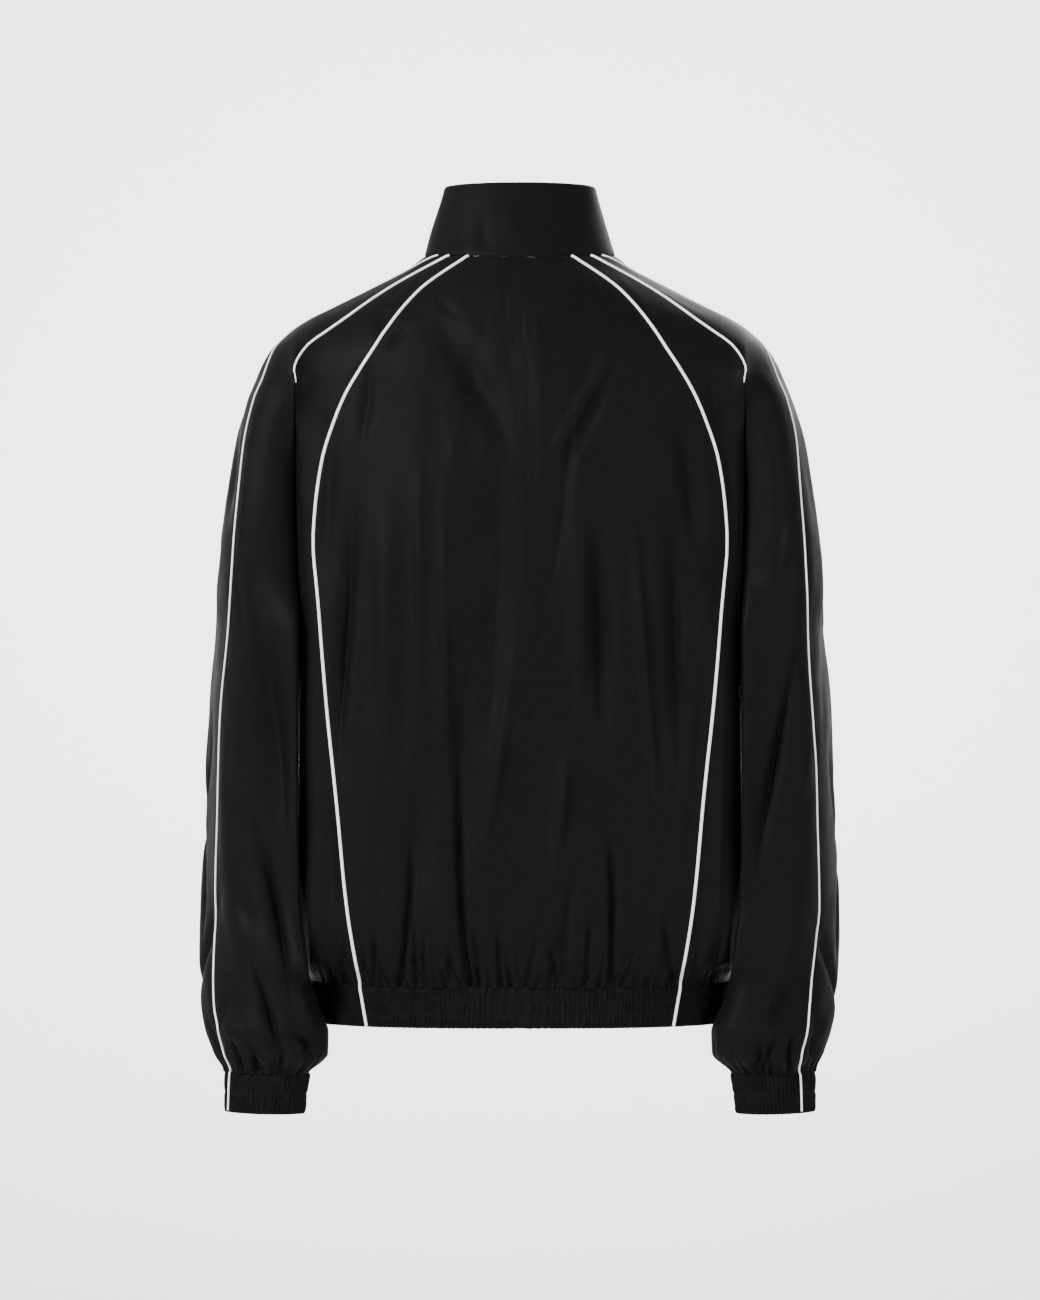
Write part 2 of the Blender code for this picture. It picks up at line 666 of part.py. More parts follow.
def zip_line(x, front_rows):
    """Points of the closed front at this distance from its centre, from the hem up, and their normals."""
    band_levels = (HEM_DROP - 1, HEM_BAND_MIDDLE, HEM_SEAM_DROP + 2)
    rows = [hem_band_shape(drop, even_fractions(hem_band_shape, drop, 2 * BAND_WAVES)) for drop in band_levels]
    rows += [row[::2] if len(row) > len(front_rows[0]) else row for row in front_rows[-2::-1]]
    rows += [collar_shape(rise, even_fractions(collar_shape, rise, COLLAR_COLUMNS)) for rise in COLLAR_ZIP_RISES]
    points = np.array([point_at_x(row, x) for row in rows])
    run = np.gradient(points, axis=0)
    out = np.stack((np.zeros(len(run)), -run[:, 2], run[:, 1]), axis=1)
    return points, out / np.linalg.norm(out, axis=1)[:, None]


def build_panels(cloth):
    """The eight cut panels. Gives back the outer rows of each, which the piping follows."""
    grids = {}
    for name, panel in PANELS.items():
        for side, suffix in SIDES:
            if name == "back_centre" and side < 0:
                continue
            full_name = name if name == "back_centre" else name + suffix
            outer, inner = panel_grid(panel, side)
            points, faces = wall_mesh(outer, inner)
            solid(full_name, points, faces, cloth)
            grids[full_name] = outer
    return grids


def build_bands(rib):
    rows = (HEM_SEAM_DROP + SEAM_GAP / 2, HEM_BAND_MIDDLE, HEM_DROP)
    outer, inner = ring_grid(hem_band_shape, 1, rows, BAND_WAVES, BAND_WAVE_HEIGHT, BAND_THICK, False)
    points, faces = wall_mesh(outer, inner)
    solid("hem_band", points, faces, rib)
    for side, suffix in SIDES:
        rows = (CUFF_SEAM_DROP + SEAM_GAP / 2, CUFF_MIDDLE, CUFF_DROP)
        shape = cuff_shape(side)
        outer, inner = ring_grid(shape, side, rows, CUFF_WAVES, BAND_WAVE_HEIGHT, BAND_THICK, True)
        points, faces = wall_mesh(outer, inner, closed=True)
        solid("cuff" + suffix, points, faces, rib)


def build_collar(cloth):
    rows = (-1.0, -0.66, -0.33, COLLAR_FOOT_RISE)
    outer, inner = ring_grid(collar_shape, 1, rows, COLLAR_COLUMNS // 2, 0, COLLAR_THICK, False)
    points, faces = wall_mesh(outer, inner)
    solid("collar", points, faces, cloth)


def build_piping(grids, cord):
    hem_rows = (HEM_SEAM_DROP + PIPING_PAST_SEAM, HEM_BAND_MIDDLE, HEM_DROP - PIPING_SHORT_OF_EDGE)
    cuff_rows = (CUFF_SEAM_DROP + PIPING_PAST_SEAM, CUFF_MIDDLE, CUFF_DROP - PIPING_SHORT_OF_EDGE)
    band_lift = BAND_WAVE_HEIGHT + PIPING_LIFT
    for side, suffix in SIDES:
        centre = [row if side > 0 else row[::-1] for row in grids["back_centre"]]

        def princess_fraction(drop):
            edge = zip_edge_angle(read(BODY, "half_width", drop), read(BODY, "roundness", drop))
            return (body_angle("princess", drop, side) * side / edge + 1) / 2

        def ridge_fraction(drop):
            return (sleeve_angle("ridge", drop, side) - sleeve_angle("armhole_back", drop, side)) / 360

        body_side, sleeve = grids["back_side" + suffix], grids["sleeve_back" + suffix]
        princess = seam_piping(centre, body_side, BODY_ROWS, PRINCESS_PIPING_END_DROP, side)
        band = ring_piping(hem_band_shape, 1, hem_rows, princess_fraction, band_lift)
        band = [mirrored_cut(cut) if side < 0 else cut for cut in band]
        raglan = seam_piping(body_side, sleeve, ARMHOLE_ROWS, RAGLAN_PIPING_END_DROP, side)
        ridge = seam_piping(sleeve, grids["sleeve_front" + suffix], SLEEVE_ROWS, RIDGE_PIPING_END_DROP, side)
        cuff = ring_piping(cuff_shape(side), side, cuff_rows, ridge_fraction, band_lift)
        for name, sections in (("princess", princess + band), ("raglan", raglan), ("ridge", ridge + cuff)):
            points, faces = strip_mesh(sections)
            solid("piping_" + name + suffix, points, faces, cord)


def mirrored_cut(cut):
    """The same cross-section listed from the other side, so that a strip doesn't twist."""
    left, seam, right, right_top, left_top = cut
    return [right, seam, left, left_top, right_top]


def flat_strip(lines, near, far, mirror=1):
    """A strip with its width between two lines, between two heights above the cloth's outer face."""
    (first, first_out), (second, second_out) = lines
    sections = []
    for a, a_out, b, b_out in zip(first, first_out, second, second_out):
        cut = [a + a_out * near, b + b_out * near, b + b_out * far, a + a_out * far]
        sections.append([point * (mirror, 1, 1) for point in cut])
    return strip_mesh(sections)


def moved_to_x(line, x):
    points, out = line
    placed = points.copy()
    placed[:, 0] = x
    return placed, out


def box(name, low, high, finish, rounding=0.0):
    """A box in its own frame of width, length and height, with its edges rounded."""
    shaper = bmesh.new()
    bmesh.ops.create_cube(shaper, size=1)
    size = [(b - a) * MM for a, b in zip(low, high)]
    middle = [(a + b) / 2 * MM for a, b in zip(low, high)]
    bmesh.ops.scale(shaper, vec=size, verts=shaper.verts)
    bmesh.ops.translate(shaper, vec=middle, verts=shaper.verts)
    if rounding:
        upright = [edge for edge in shaper.edges if abs((edge.verts[0].co - edge.verts[1].co).z) > size[2] / 2]
        bmesh.ops.bevel(shaper, geom=upright, offset=rounding * MM, segments=3, affect="EDGES", profile=0.5)
    mesh = bpy.data.meshes.new(name)
    shaper.to_mesh(mesh)
    shaper.free()
    mesh.materials.append(finish)
    made = bpy.data.objects.new(name, mesh)
    bpy.context.scene.collection.objects.link(made)
    return made


def joined(target, tool, operation):
    """Adds one solid to another, or cuts it out, and keeps the tool out of the model."""
    change = target.modifiers.new(tool.name, "BOOLEAN")
    change.operation, change.solver, change.object = operation, "EXACT", tool
    tool.hide_render, tool.display_type = True, "WIRE"
    tool.matrix_world = target.matrix_world


def build_zip(front_rows, tape_finish, metal):
    """The closed zip: two tapes behind the fronts, the chain between them, its box, slider and pull."""
    edge, outer_edge = (zip_line(x, front_rows) for x in (ZIP_HALF_GAP + 0.3, TAPE_HALF_WIDTH))
    for side, suffix in SIDES:
        lines = (moved_to_x(edge, SEAM_GAP / 2), outer_edge)
        points, faces = flat_strip(lines, -TAPE_FRONT, -TAPE_FRONT - TAPE_THICK, side)
        solid("zip_tape" + suffix, points, faces, tape_finish)

    heights = np.concatenate(([0], np.cumsum(np.linalg.norm(np.diff(edge[0], axis=0), axis=1))))

    def place(height):
        """The point on the centre line at this length above its foot, with the directions up and out."""
        point = np.array([np.interp(height, heights, edge[0][:, k]) for k in range(3)])
        above = np.array([np.interp(height + 3, heights, edge[0][:, k]) for k in range(3)])
        up = (above - point) / np.linalg.norm(above - point)
        return point * (0, 1, 1), up, np.array((0, -up[2], up[1]))

    chain_low, chain_high = BOX_LENGTH + SEAM_GAP, heights[-1] - SLIDER_BELOW_TOP - SLIDER_LENGTH / 2 - SEAM_GAP
    inside = heights[(heights > chain_low) & (heights < chain_high)]
    stops = [place(height) for height in (chain_low, *inside, chain_high)]
    line = np.array([stop[0] for stop in stops]), np.array([stop[2] for stop in stops])
    lines = moved_to_x(line, CHAIN_HALF_WIDTH), moved_to_x(line, -CHAIN_HALF_WIDTH)
    points, faces = flat_strip(lines, -TAPE_FRONT + SEAM_GAP, 0.1)
    solid("zip_chain", points, faces, metal)

    def frame(height, out_by):
        point, up, out = place(height)
        turn = Matrix(((1, up[0], out[0]), (0, up[1], out[1]), (0, up[2], out[2]))).to_4x4()
        return Matrix.Translation(Vector((point + out * out_by) * MM)) @ turn

    seat = -TAPE_FRONT + SEAM_GAP
    foot = box("zip_box", (-3.4, 0, seat), (3.4, BOX_LENGTH, 1.0), metal, 1.0)
    foot.matrix_world = frame(0, 0)

    slider_height = heights[-1] - SLIDER_BELOW_TOP
    half = SLIDER_LENGTH / 2
    slider = box("zip_slider", (-3.5, -half, seat), (3.5, half, SLIDER_TOP), metal, 1.6)
    slider.matrix_world = frame(slider_height, 0)
    wide, long, rise = BAIL["half_width"], BAIL["half_length"], BAIL["rise"]
    bail = box("bail_block", (-wide, -long, SLIDER_TOP - 0.4), (wide, long, SLIDER_TOP + rise), metal)
    joined(slider, bail, "UNION")
    long, rise = BAIL["slot_half_length"], BAIL["slot_rise"]
    slot = box("bail_slot", (-2 * wide, -long, SLIDER_TOP), (2 * wide, long, SLIDER_TOP + rise), metal)
    joined(slider, slot, "DIFFERENCE")

    wide, thick = PULL["half_width"], PULL["half_thick"]
    pull = box("zip_pull", (-wide, -PULL_LENGTH, -thick), (wide, thick, thick), metal, 1.2)
    pull.matrix_world = frame(slider_height, SLIDER_TOP + BAIL["slot_rise"] / 2)
    eye_wide = PULL["eye_half_width"]
    eye = box("pull_eye", (-eye_wide, PULL["eye_from"], -1), (eye_wide, PULL["eye_to"], 1), metal)
    joined(pull, eye, "DIFFERENCE")


def build():
    for old in list(bpy.data.objects):
        bpy.data.objects.remove(old)
    cloth = material("black_woven_polyester", (0.006, 0.006, 0.007), 0.42)
    rib = material("black_shirred_band", (0.006, 0.006, 0.007), 0.5)
    cord = material("white_piping", (0.75, 0.75, 0.73), 0.6)
    tape = material("black_zip_tape", (0.01, 0.01, 0.01), 0.8)
    metal = material("black_nickel", (0.08, 0.08, 0.085), 0.3, 1.0)
    grids = build_panels(cloth)
    build_bands(rib)
    build_collar(cloth)
    build_piping(grids, cord)
    build_zip(grids["front_left"], tape, metal)


build()
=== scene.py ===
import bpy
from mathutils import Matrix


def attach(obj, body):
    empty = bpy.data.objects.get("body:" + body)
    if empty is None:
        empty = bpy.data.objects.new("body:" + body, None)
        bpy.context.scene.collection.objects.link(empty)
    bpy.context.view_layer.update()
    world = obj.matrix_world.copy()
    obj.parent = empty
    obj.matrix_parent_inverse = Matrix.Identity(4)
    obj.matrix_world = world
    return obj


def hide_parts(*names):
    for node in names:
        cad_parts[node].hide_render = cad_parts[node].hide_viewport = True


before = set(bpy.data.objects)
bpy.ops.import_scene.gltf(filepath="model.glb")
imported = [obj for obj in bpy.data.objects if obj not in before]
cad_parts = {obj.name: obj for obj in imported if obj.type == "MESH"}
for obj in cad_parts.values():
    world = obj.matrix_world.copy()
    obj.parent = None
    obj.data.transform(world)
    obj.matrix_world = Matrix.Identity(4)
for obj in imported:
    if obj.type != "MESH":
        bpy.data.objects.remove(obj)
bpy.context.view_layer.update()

import math

import bmesh
import bpy
import numpy as np
from mathutils import Vector

# Track jacket in black woven cloth with white piping, seen from behind, filled out with no wearer in it.
# Sizes are in millimetres. A drop is a distance below the collar seam at the centre back.
# The wearer's left is +X, the back is +Y. Rows run down a panel and columns run round it.

mm = 0.001
sides = ((1, "_left"), (-1, "_right"))

levels = {
    "underarm": 280.0, "hemSeam": 657.0, "hem": 694.0, "cuffSeam": 736.0, "cuff": 772.0,
    "neckSideRise": 6.0, "neckFrontFall": 75.0, "neckFade": 165.0,
    "armholeStart": 55.0, "armholeFull": 130.0,
}
shoulderRoundness = 2.1
sideHollowSpread = 44.0
zipHalfGap = 4.5
sleeveLeastHalf = 12.0


def tableOf(columns, *rows):
    return dict(zip(columns.split(), np.array(rows, float).T))


outline = tableOf(
    "drop halfWidth",
    (-6, 88), (6, 103), (24.5, 137.5), (43, 174.5), (52, 193), (61, 207), (70.5, 217.5), (80, 227),
    (89, 233), (107, 242), (126, 249.5), (162, 261), (199, 267), (254, 274.5), (280, 277),
)
bodyTable = tableOf(
    "drop halfWidth sideHollow hollowY back front roundness",
    (0, 209, 0, 0, 75, 85, 2.5), (10, 209, 0, 0, 84, 90, 2.5), (33, 209, 0, 0, 100, 98, 2.5),
    (57, 209, 0, 0, 110.5, 104, 2.5), (100, 209, 2, 0, 121.5, 112, 2.5), (150, 209, 6, 0, 131, 120, 2.5),
    (220, 209, 9, 0, 138, 127, 2.6), (280, 207, 9.5, 0, 139, 131, 2.7), (340, 207.5, 9.5, 22, 138.5, 132, 3.0),
    (410, 207.5, 7.5, 34, 137, 132, 3.2), (500, 207, 6.5, 46, 137, 131, 3.3),
    (590, 205.5, 5.5, 56, 138, 130, 3.2), (632, 202, 5, 64, 134, 127, 3.0),
    (657, 193, 2, 66, 119, 115, 2.8), (694, 192, 1, 66, 117, 113, 2.8),
)
sleeveTable = tableOf(
    "drop inner outer longHalf tilt centreY roundness",
    (0, 185, 215, 45, 0, 0, 2), (60, 195, 225, 58, 0, 0, 2), (100, 199.5, 240, 70, 0, 0, 2),
    (140, 199.5, 254.5, 79, 0, 0, 2), (180, 199.5, 264, 85, 0, 0, 2), (230, 199.5, 271.5, 89.5, 0, 0, 2.1),
    (280, 199.5, 277, 90.5, 0, 0, 2.3), (340, 200.2, 282, 88, 8, 9, 2.6), (420, 200.6, 289, 81, 11, 13, 2.8),
    (500, 200.8, 291, 74, 15, 22, 2.7), (580, 199, 293, 69, 24, 38, 2.4), (635, 192.5, 292, 66, 36, 56, 2.2),
    (675, 181, 288.5, 63, 50, 70, 2), (700, 171.5, 283, 60, 60, 77, 2), (718, 172, 275.5, 55, 63, 79, 2),
    (736, 189.5, 266, 40.5, 66, 80, 2), (772, 195, 266, 37.5, 66, 80, 2),
)
seamTable = tableOf(
    "drop princess raglan frontRaglan armholeBack armholeFront",
    (0, 46.6, 64, 68, 80, 80), (33, 91, 122, 118, 80, 80), (69, 120.7, 172.5, 170, 80, 80),
    (85, 131, 194, 190, 78, 78), (103, 143, 205, 204, 72, 72), (125, 156, 205, 205, 61, 62),
    (145, 165, 203, 203, 51, 54), (186, 178.5, 201, 201, 38, 42), (230, 184.5, 200, 200, 31, 34),
    (256, 186, 200, 200, 24, 25), (269, 185.7, 200, 200, 16, 16.5), (277, 185.3, 200, 200, 7, 7),
    (280, 185, 200, 200, 0, 0), (311, 182.7, 200, 200, 0, 0), (400, 174.3, 200, 200, 0, 0),
    (490, 164.5, 200, 200, 0, 0), (579, 155.5, 200, 200, 0, 0), (632, 147.7, 200, 200, 0, 0),
    (694, 137, 200, 200, 0, 0),
)
ridgeTable = tableOf(
    "drop shoulderAngle leftEdge rightEdge",
    (0, 57, 1, 1), (6, 68, 1, 1), (14, 77, 1, 1), (26, 84, 1, 1), (50, 88, 2, 2), (70, 86, 3, 3),
    (85, 79, 5, 4.5), (100, 72, 7, 6), (125, 60, 9, 8), (160, 60, 12, 11), (200, 60, 14, 15),
    (240, 60, 16, 18), (310, 60, 18, 21), (400, 60, 17.5, 25), (490, 60, 17, 23), (585, 60, 17, 23),
    (655, 60, 14, 29), (690, 60, 12, 27), (715, 60, 9, 24), (736, 60, 6, 15.5), (772, 60, 4.5, 14),
)
collarTop = {"halfWidth": 69.5, "back": 45, "front": 73, "backRise": 70.5, "sideRise": 64, "frontRise": 63}


def readTable(rows, name, drop):
    # a column of a table at any drops, on a smooth curve that doesn't overshoot between its rows
    drops, values = rows["drop"], rows[name]
    steps = np.diff(drops)
    slopes = np.diff(values) / steps
    tangents = np.concatenate((slopes[:1], np.zeros(len(slopes) - 1), slopes[-1:]))
    before, after = slopes[:-1], slopes[1:]
    leanBefore, leanAfter = 2 * steps[1:] + steps[:-1], steps[1:] + 2 * steps[:-1]
    rising = before * after > 0
    tangents[1:-1][rising] = (leanBefore + leanAfter)[rising] / (
        leanBefore[rising] / before[rising] + leanAfter[rising] / after[rising])
    at = np.clip(drop, drops[0], drops[-1])
    i = np.clip(np.searchsorted(drops, at, side="right") - 1, 0, len(steps) - 1)
    t = (at - drops[i]) / steps[i]
    bend = (2 * t**3 - 3 * t**2 + 1) * values[i] + (3 * t**2 - 2 * t**3) * values[i + 1]
    lean = (t**3 - 2 * t**2 + t) * tangents[i] + (t**3 - t**2) * tangents[i + 1]
    return bend + lean * steps[i]


def reader(rows):
    return lambda name, drop: readTable(rows, name, drop)


outlineAt, bodyAt, sleeveAt = reader(outline), reader(bodyTable), reader(sleeveTable)
seamAt, ridgeAt = reader(seamTable), reader(ridgeTable)


def ease(start, end, value):
    t = np.clip((value - start) / (end - start), 0, 1)
    return t * t * (3 - 2 * t)


def plateau(rise, fall, value):
    # from 0 up to 1 over the rise, and back to 0 over the fall
    return ease(*rise, value) * (1 - ease(*fall, value))


def bell(distance, width):
    return np.exp(-((distance / width) ** 2))


def wrap(grid):
    # a grid with its first column again at its end
    return np.concatenate((grid, grid[:, :1]), axis=1)


def power(value, exponent):
    return np.sign(value) * np.abs(value) ** exponent


def sineCosine(angle):
    return np.sin(np.radians(angle)), np.cos(np.radians(angle))


def oval(halfWidth, back, front, squareness, angle):
    # from the centre back at 0 degrees through the wearer's left at 90 to the front at 180
    across, along = sineCosine(angle)
    depth = np.where(along >= 0, back, front)
    return halfWidth * power(across, 2 / squareness), depth * power(along, 2 / squareness)


def ovalAngle(x, halfWidth, squareness):
    return np.degrees(np.arcsin(np.minimum(1.0, x / halfWidth) ** (squareness / 2)))


def depthAngle(y, depth, squareness):
    return np.degrees(np.arccos(np.minimum(1.0, y / depth) ** (squareness / 2)))


def neckFade(drop):
    return 1 - ease(0, levels["neckFade"], drop)


def neckLift(angle):
    sine, cosine = sineCosine(angle)
    return levels["neckSideRise"] * sine**2 - levels["neckFrontFall"] * np.clip(-cosine, 0, 1) ** 1.5


def shoulderHalfWidth(drop):
    return outlineAt("halfWidth", drop - levels["neckSideRise"] * neckFade(drop))


def shoulderLoop(drop, angle):
    back, front = bodyAt("back", drop), bodyAt("front", drop)
    return oval(shoulderHalfWidth(drop), back, front, shoulderRoundness, angle)


def bodyLoop(drop, angle):
    back, front = bodyAt("back", drop), bodyAt("front", drop)
    squareness = bodyAt("roundness", drop)
    x, y = oval(bodyAt("halfWidth", drop), back, front, squareness, angle)
    hollow = bodyAt("sideHollow", drop) * bell(y - bodyAt("hollowY", drop), sideHollowSpread)
    return x - hollow * power(sineCosine(angle)[0], 3), y


def sleeveSection(drop):
    outer = np.where(drop < levels["underarm"], outlineAt("halfWidth", drop), sleeveAt("outer", drop))
    inner = np.minimum(sleeveAt("inner", drop), outer - 2 * sleeveLeastHalf)
    tilt, squareness = np.radians(sleeveAt("tilt", drop)), sleeveAt("roundness", drop)
    longHalf, half = sleeveAt("longHalf", drop), (outer - inner) / 2
    spread = squareness / (squareness - 1)
    longReach = longHalf * np.sin(tilt)
    shortReach = (half**spread - longReach**spread) ** (1 / spread)
    edge = np.degrees(np.arctan2((longReach / half) ** (spread / 2), (shortReach / half) ** (spread / 2)))
    return {"x": (inner + outer) / 2, "y": sleeveAt("centreY", drop), "longHalf": longHalf,
            "shortHalf": shortReach / np.cos(tilt), "tilt": tilt, "edge": edge, "outer": outer,
            "roundness": squareness}


def sleeveLoop(drop, angle):
    cut = sleeveSection(drop)
    across, along = oval(cut["shortHalf"], cut["longHalf"], cut["longHalf"], cut["roundness"], angle)
    sine, cosine = np.sin(cut["tilt"]), np.cos(cut["tilt"])
    return cut["x"] - along * sine + across * cosine, cut["y"] + along * cosine + across * sine


def shoulderAngle(seam, drop, side):
    half, squareness = shoulderHalfWidth(drop), shoulderRoundness
    if seam == "ridge":
        return ridgeAt("shoulderAngle", drop)
    if seam.startswith("princess"):
        angle = ovalAngle(seamAt("princess", drop), half, squareness)
        return angle if seam == "princess" else -angle
    if seam == "armholeBack":
        return ovalAngle(seamAt("raglan", drop), half, squareness)
    x = seamAt("frontRaglan", drop) if seam == "armholeFront" else zipHalfGap
    return 180 - ovalAngle(x, half, squareness)


def bodyAngle(seam, drop, side):
    half, squareness = bodyAt("halfWidth", drop), bodyAt("roundness", drop)
    if seam.startswith("princess"):
        angle = ovalAngle(seamAt("princess", drop), half, squareness)
        return angle if seam == "princess" else -angle
    if seam == "armholeBack":
        return depthAngle(seamAt(seam, drop), bodyAt("back", drop), squareness)
    if seam == "armholeFront":
        return 180 - depthAngle(seamAt(seam, drop), bodyAt("front", drop), squareness)
    return 180 - ovalAngle(zipHalfGap, half, squareness)


def sleeveAngle(seam, drop, side):
    cut = sleeveSection(drop)
    if seam == "ridge":
        fromEdge = ridgeAt("leftEdge" if side > 0 else "rightEdge", drop)
        behind = cut["edge"] + np.linspace(-90, 90, 361)[None, :]
        rows = zip(cut["outer"] - fromEdge, sleeveLoop(drop, behind)[0], behind)
        return np.array([np.interp(place, x, angles) for place, x, angles in rows])
    turn = depthAngle(seamAt(seam, drop), cut["longHalf"], cut["roundness"])
    if seam == "armholeBack":
        return np.where(drop < levels["underarm"], -turn, cut["edge"] - 90)
    return np.where(drop < levels["underarm"], 180 + turn, cut["edge"] + 270)


groups = {"body": (bodyLoop, bodyAngle), "sleeve": (sleeveLoop, sleeveAngle)}
panels = {
    "back_centre": {"group": "body", "start": "princessFar", "end": "princess", "columns": 219},
    "back_side": {"group": "body", "start": "princess", "end": "armholeBack", "columns": 78},
    "front": {"group": "body", "start": "armholeFront", "end": "centreFront", "columns": 106},
    "sleeve_back": {"group": "sleeve", "start": "armholeBack", "end": "ridge", "columns": 80},
    "sleeve_front": {"group": "sleeve", "start": "ridge", "end": "armholeFront", "columns": 94},
}
mesher = {
    "row": 5.0, "shoulderRow": 2.5, "gatherRow": 2.0,  # distances between rows, down a panel
    "shoulderEnd": 130, "gatherStart": 40,  # how far down, and how far above the band, the closer rows lie
    "topRows": (0.15, 0.9, 2.0, 3.6), "lowRows": (3.4, 2.2, 1.2, 0.4),  # rows beside the seams, from each
    "nearSeam": (0.0, 0.7, 1.6, 2.8, 4.4),  # columns beside a seam, from its edge
    "narrow": 26,  # where a panel is narrower than this, those columns lie closer together
}


# Between body and sleeve the cloth lies fuller than the plain solids, so that only a narrow slit is left. It is
# filled between two drops, and off the slit's own X. The slit leans where it would let light through.
fullness = {
    "most": 36.0, "slit": (203.0, 190.0), "slitBend": (500.0, 645.0), "inward": 18.0, "outward": 13.0,
    "depth": (5.0, 45.0), "starts": (60.0, 135.0), "ends": (634.0, 657.0),
}
slitLean = {
    "most": 3.2, "front": (-20.0, 25.0), "back": (35.0, 80.0), "starts": (265.0, 330.0),
    "ends": (635.0, 655.0), "bodySide": (-33, -6), "sleeveSide": (20, 48),
}


def besideSlit(x, y, drop):
    high, low = fullness["slit"]
    off = np.abs(x) - (high + (low - high) * ease(*fullness["slitBend"], drop))
    across = np.exp(-np.abs(off) / np.where(off < 0, fullness["inward"], fullness["outward"]))
    filled = across * plateau(fullness["starts"], fullness["ends"], drop) * ease(*fullness["depth"], np.abs(y))
    lean = 1 - ease(*slitLean["front"], y) - ease(*slitLean["back"], y)
    lean = lean * plateau(slitLean["starts"], slitLean["ends"], drop)
    lean = lean * plateau(slitLean["bodySide"], slitLean["sleeveSide"], off)
    return x + slitLean["most"] * lean * np.sign(x), y + fullness["most"] * filled * np.sign(y)


def section(panel, side, drop, fraction):
    loop, angleOf = groups[panel["group"]]
    start, end = panel["start"], panel["end"]

    def between(angles):
        first, last = angles(start, drop, side), angles(end, drop, side)
        return first + (last - first) * fraction

    own, shared = between(angleOf), between(shoulderAngle)
    points = np.array(loop(drop, own))
    for seam, nearness in ((start, 1 - fraction), (end, fraction)):
        if seam.startswith("armhole"):
            ends = [np.array(each(drop, angles(seam, drop, 1))) for each, angles in groups.values()]
            mine = np.array(loop(drop, angleOf(seam, drop, side)))
            miss = (ends[0] + ends[1]) / 2 - mine
            points = points + miss * nearness**3 * (drop < levels["underarm"])
    amount = ease(levels["armholeStart"], levels["armholeFull"], drop)
    points = points * amount + np.array(shoulderLoop(drop, shared)) * (1 - amount)
    z = -drop + neckLift(shared) * neckFade(drop)
    x, y = besideSlit(*points, drop)
    return np.stack((x * side, y, z), axis=2), own


def gridNormals(points, side, closed=False):
    if closed:
        points = np.concatenate((points[:, -1:], wrap(points)), axis=1)
    found = np.cross(np.gradient(points, axis=1), np.gradient(points, axis=0)) * side
    found /= np.linalg.norm(found, axis=2)[..., None]
    return found[:, 1:-1] if closed else found


def runLengths(points, axis):
    steps = np.linalg.norm(np.diff(points, axis=axis), axis=2)
    start = np.zeros_like(np.take(steps, [0], axis=axis))
    return np.concatenate((start, np.cumsum(steps, axis=axis)), axis=axis)


# Creases: a trough has a negative height. A crease runs from its top to its low end and bows sideways.
# Sharp is the exponent of its cross-section: 1 is a pinched line and 2 a soft round one.
# A gathered crease runs on into the band below it.
def creaseTable(*rows):
    return tableOf("topDrop topX lowDrop lowX bow halfWidth height sharp", *rows)


backCreases = creaseTable(
    (36, 88, 205, 4, -10, 15, -4.2, 2), (130, 22, 470, 30, -4, 15, -4.6, 2), (20, -14, 200, -30, 4, 24, 2.6, 2),
    (70, -104, 250, -20, 5, 8, -2.0, 1.8), (56, -106, 215, -12, 3, 8, 2.4, 2),
    (100, -48, 350, -15, -8, 4, -1.6, 1.3), (190, 68, 480, 66, 0, 7, 3.0, 1.7),
    (170, 90, 400, 88, 0, 6, 2.4, 1.7), (30, 84, 66, 48, 0, 5, -0.7, 1.6),
    (80, 134, 190, 146, -3, 5, -2.2, 1.5), (195, 146, 480, 163, 3, 5.5, -5.5, 1.4),
    (180, 122, 470, 118, 0, 11, 3.6, 2), (190, -99, 560, -131, 4, 5, 4.2, 1.4),
    (190, -72, 480, -76, 0, 9, -4.4, 1.9), (190, -141, 490, -144, 0, 9, -4.0, 1.9),
    (190, -50, 470, -54, 0, 8, 2.8, 1.8), (420, -46, 570, -30, 0, 6, 3.0, 1.7),
    (320, 0, 560, 33, 0, 8, 3.6, 1.7), (310, 54, 580, 46, 0, 11, -3.8, 1.9), (440, 92, 620, 84, 3, 11, -3.0, 2),
    (90, 141, 128, 160, -3, 4, -1.6, 1.4), (62, 98, 92, 118, 3, 5, -1.4, 1.6),
    (44, 118, 80, 128, 0, 6, -1.6, 1.6), (118, 170, 300, 176, 0, 7, -1.8, 1.7),
    (130, -150, 300, -166, 4, 9, -2.6, 2), (330, -168, 560, -160, 0, 8, -2.0, 1.8),
    (470, 172, 620, 166, 0, 7, -2.0, 1.7), (236, 253, 560, 208, -6, 9, -4.2, 1.5),
    (480, 244, 700, 200, -4, 3.6, -5.6, 1.1), (612, 251, 742, 208, -3, 3.2, -5.6, 1.1),
    (686, 224, 730, 186, -14, 2.6, -3.8, 1.1), (570, 256, 612, 238, 0, 8, -2.0, 1.8),
    (698, 259, 745, 242, 2, 2.4, -4.4, 1.1), (708, 241, 745, 228, 2, 2.2, -4.0, 1.1),
    (710, 213, 745, 222, -3, 2.2, -4.0, 1.1), (330, -256, 580, -210, 3, 4.0, -5.8, 1.1),
    (222, -243, 300, -235, 0, 4, 2.4, 1.6), (430, -262, 520, -244, 0, 9, 2.0, 2),
    (640, -250, 700, -222, 0, 9, -3.0, 1.8), (700, -211, 745, -199, -9, 2.3, -4.2, 1.1),
    (704, -227, 745, -213, 0, 2.2, -4.0, 1.1), (690, -243, 745, -240, 0, 2.2, -4.0, 1.1),
    (290, -266, 470, -272, -6, 5, -2.6, 1.4),
)
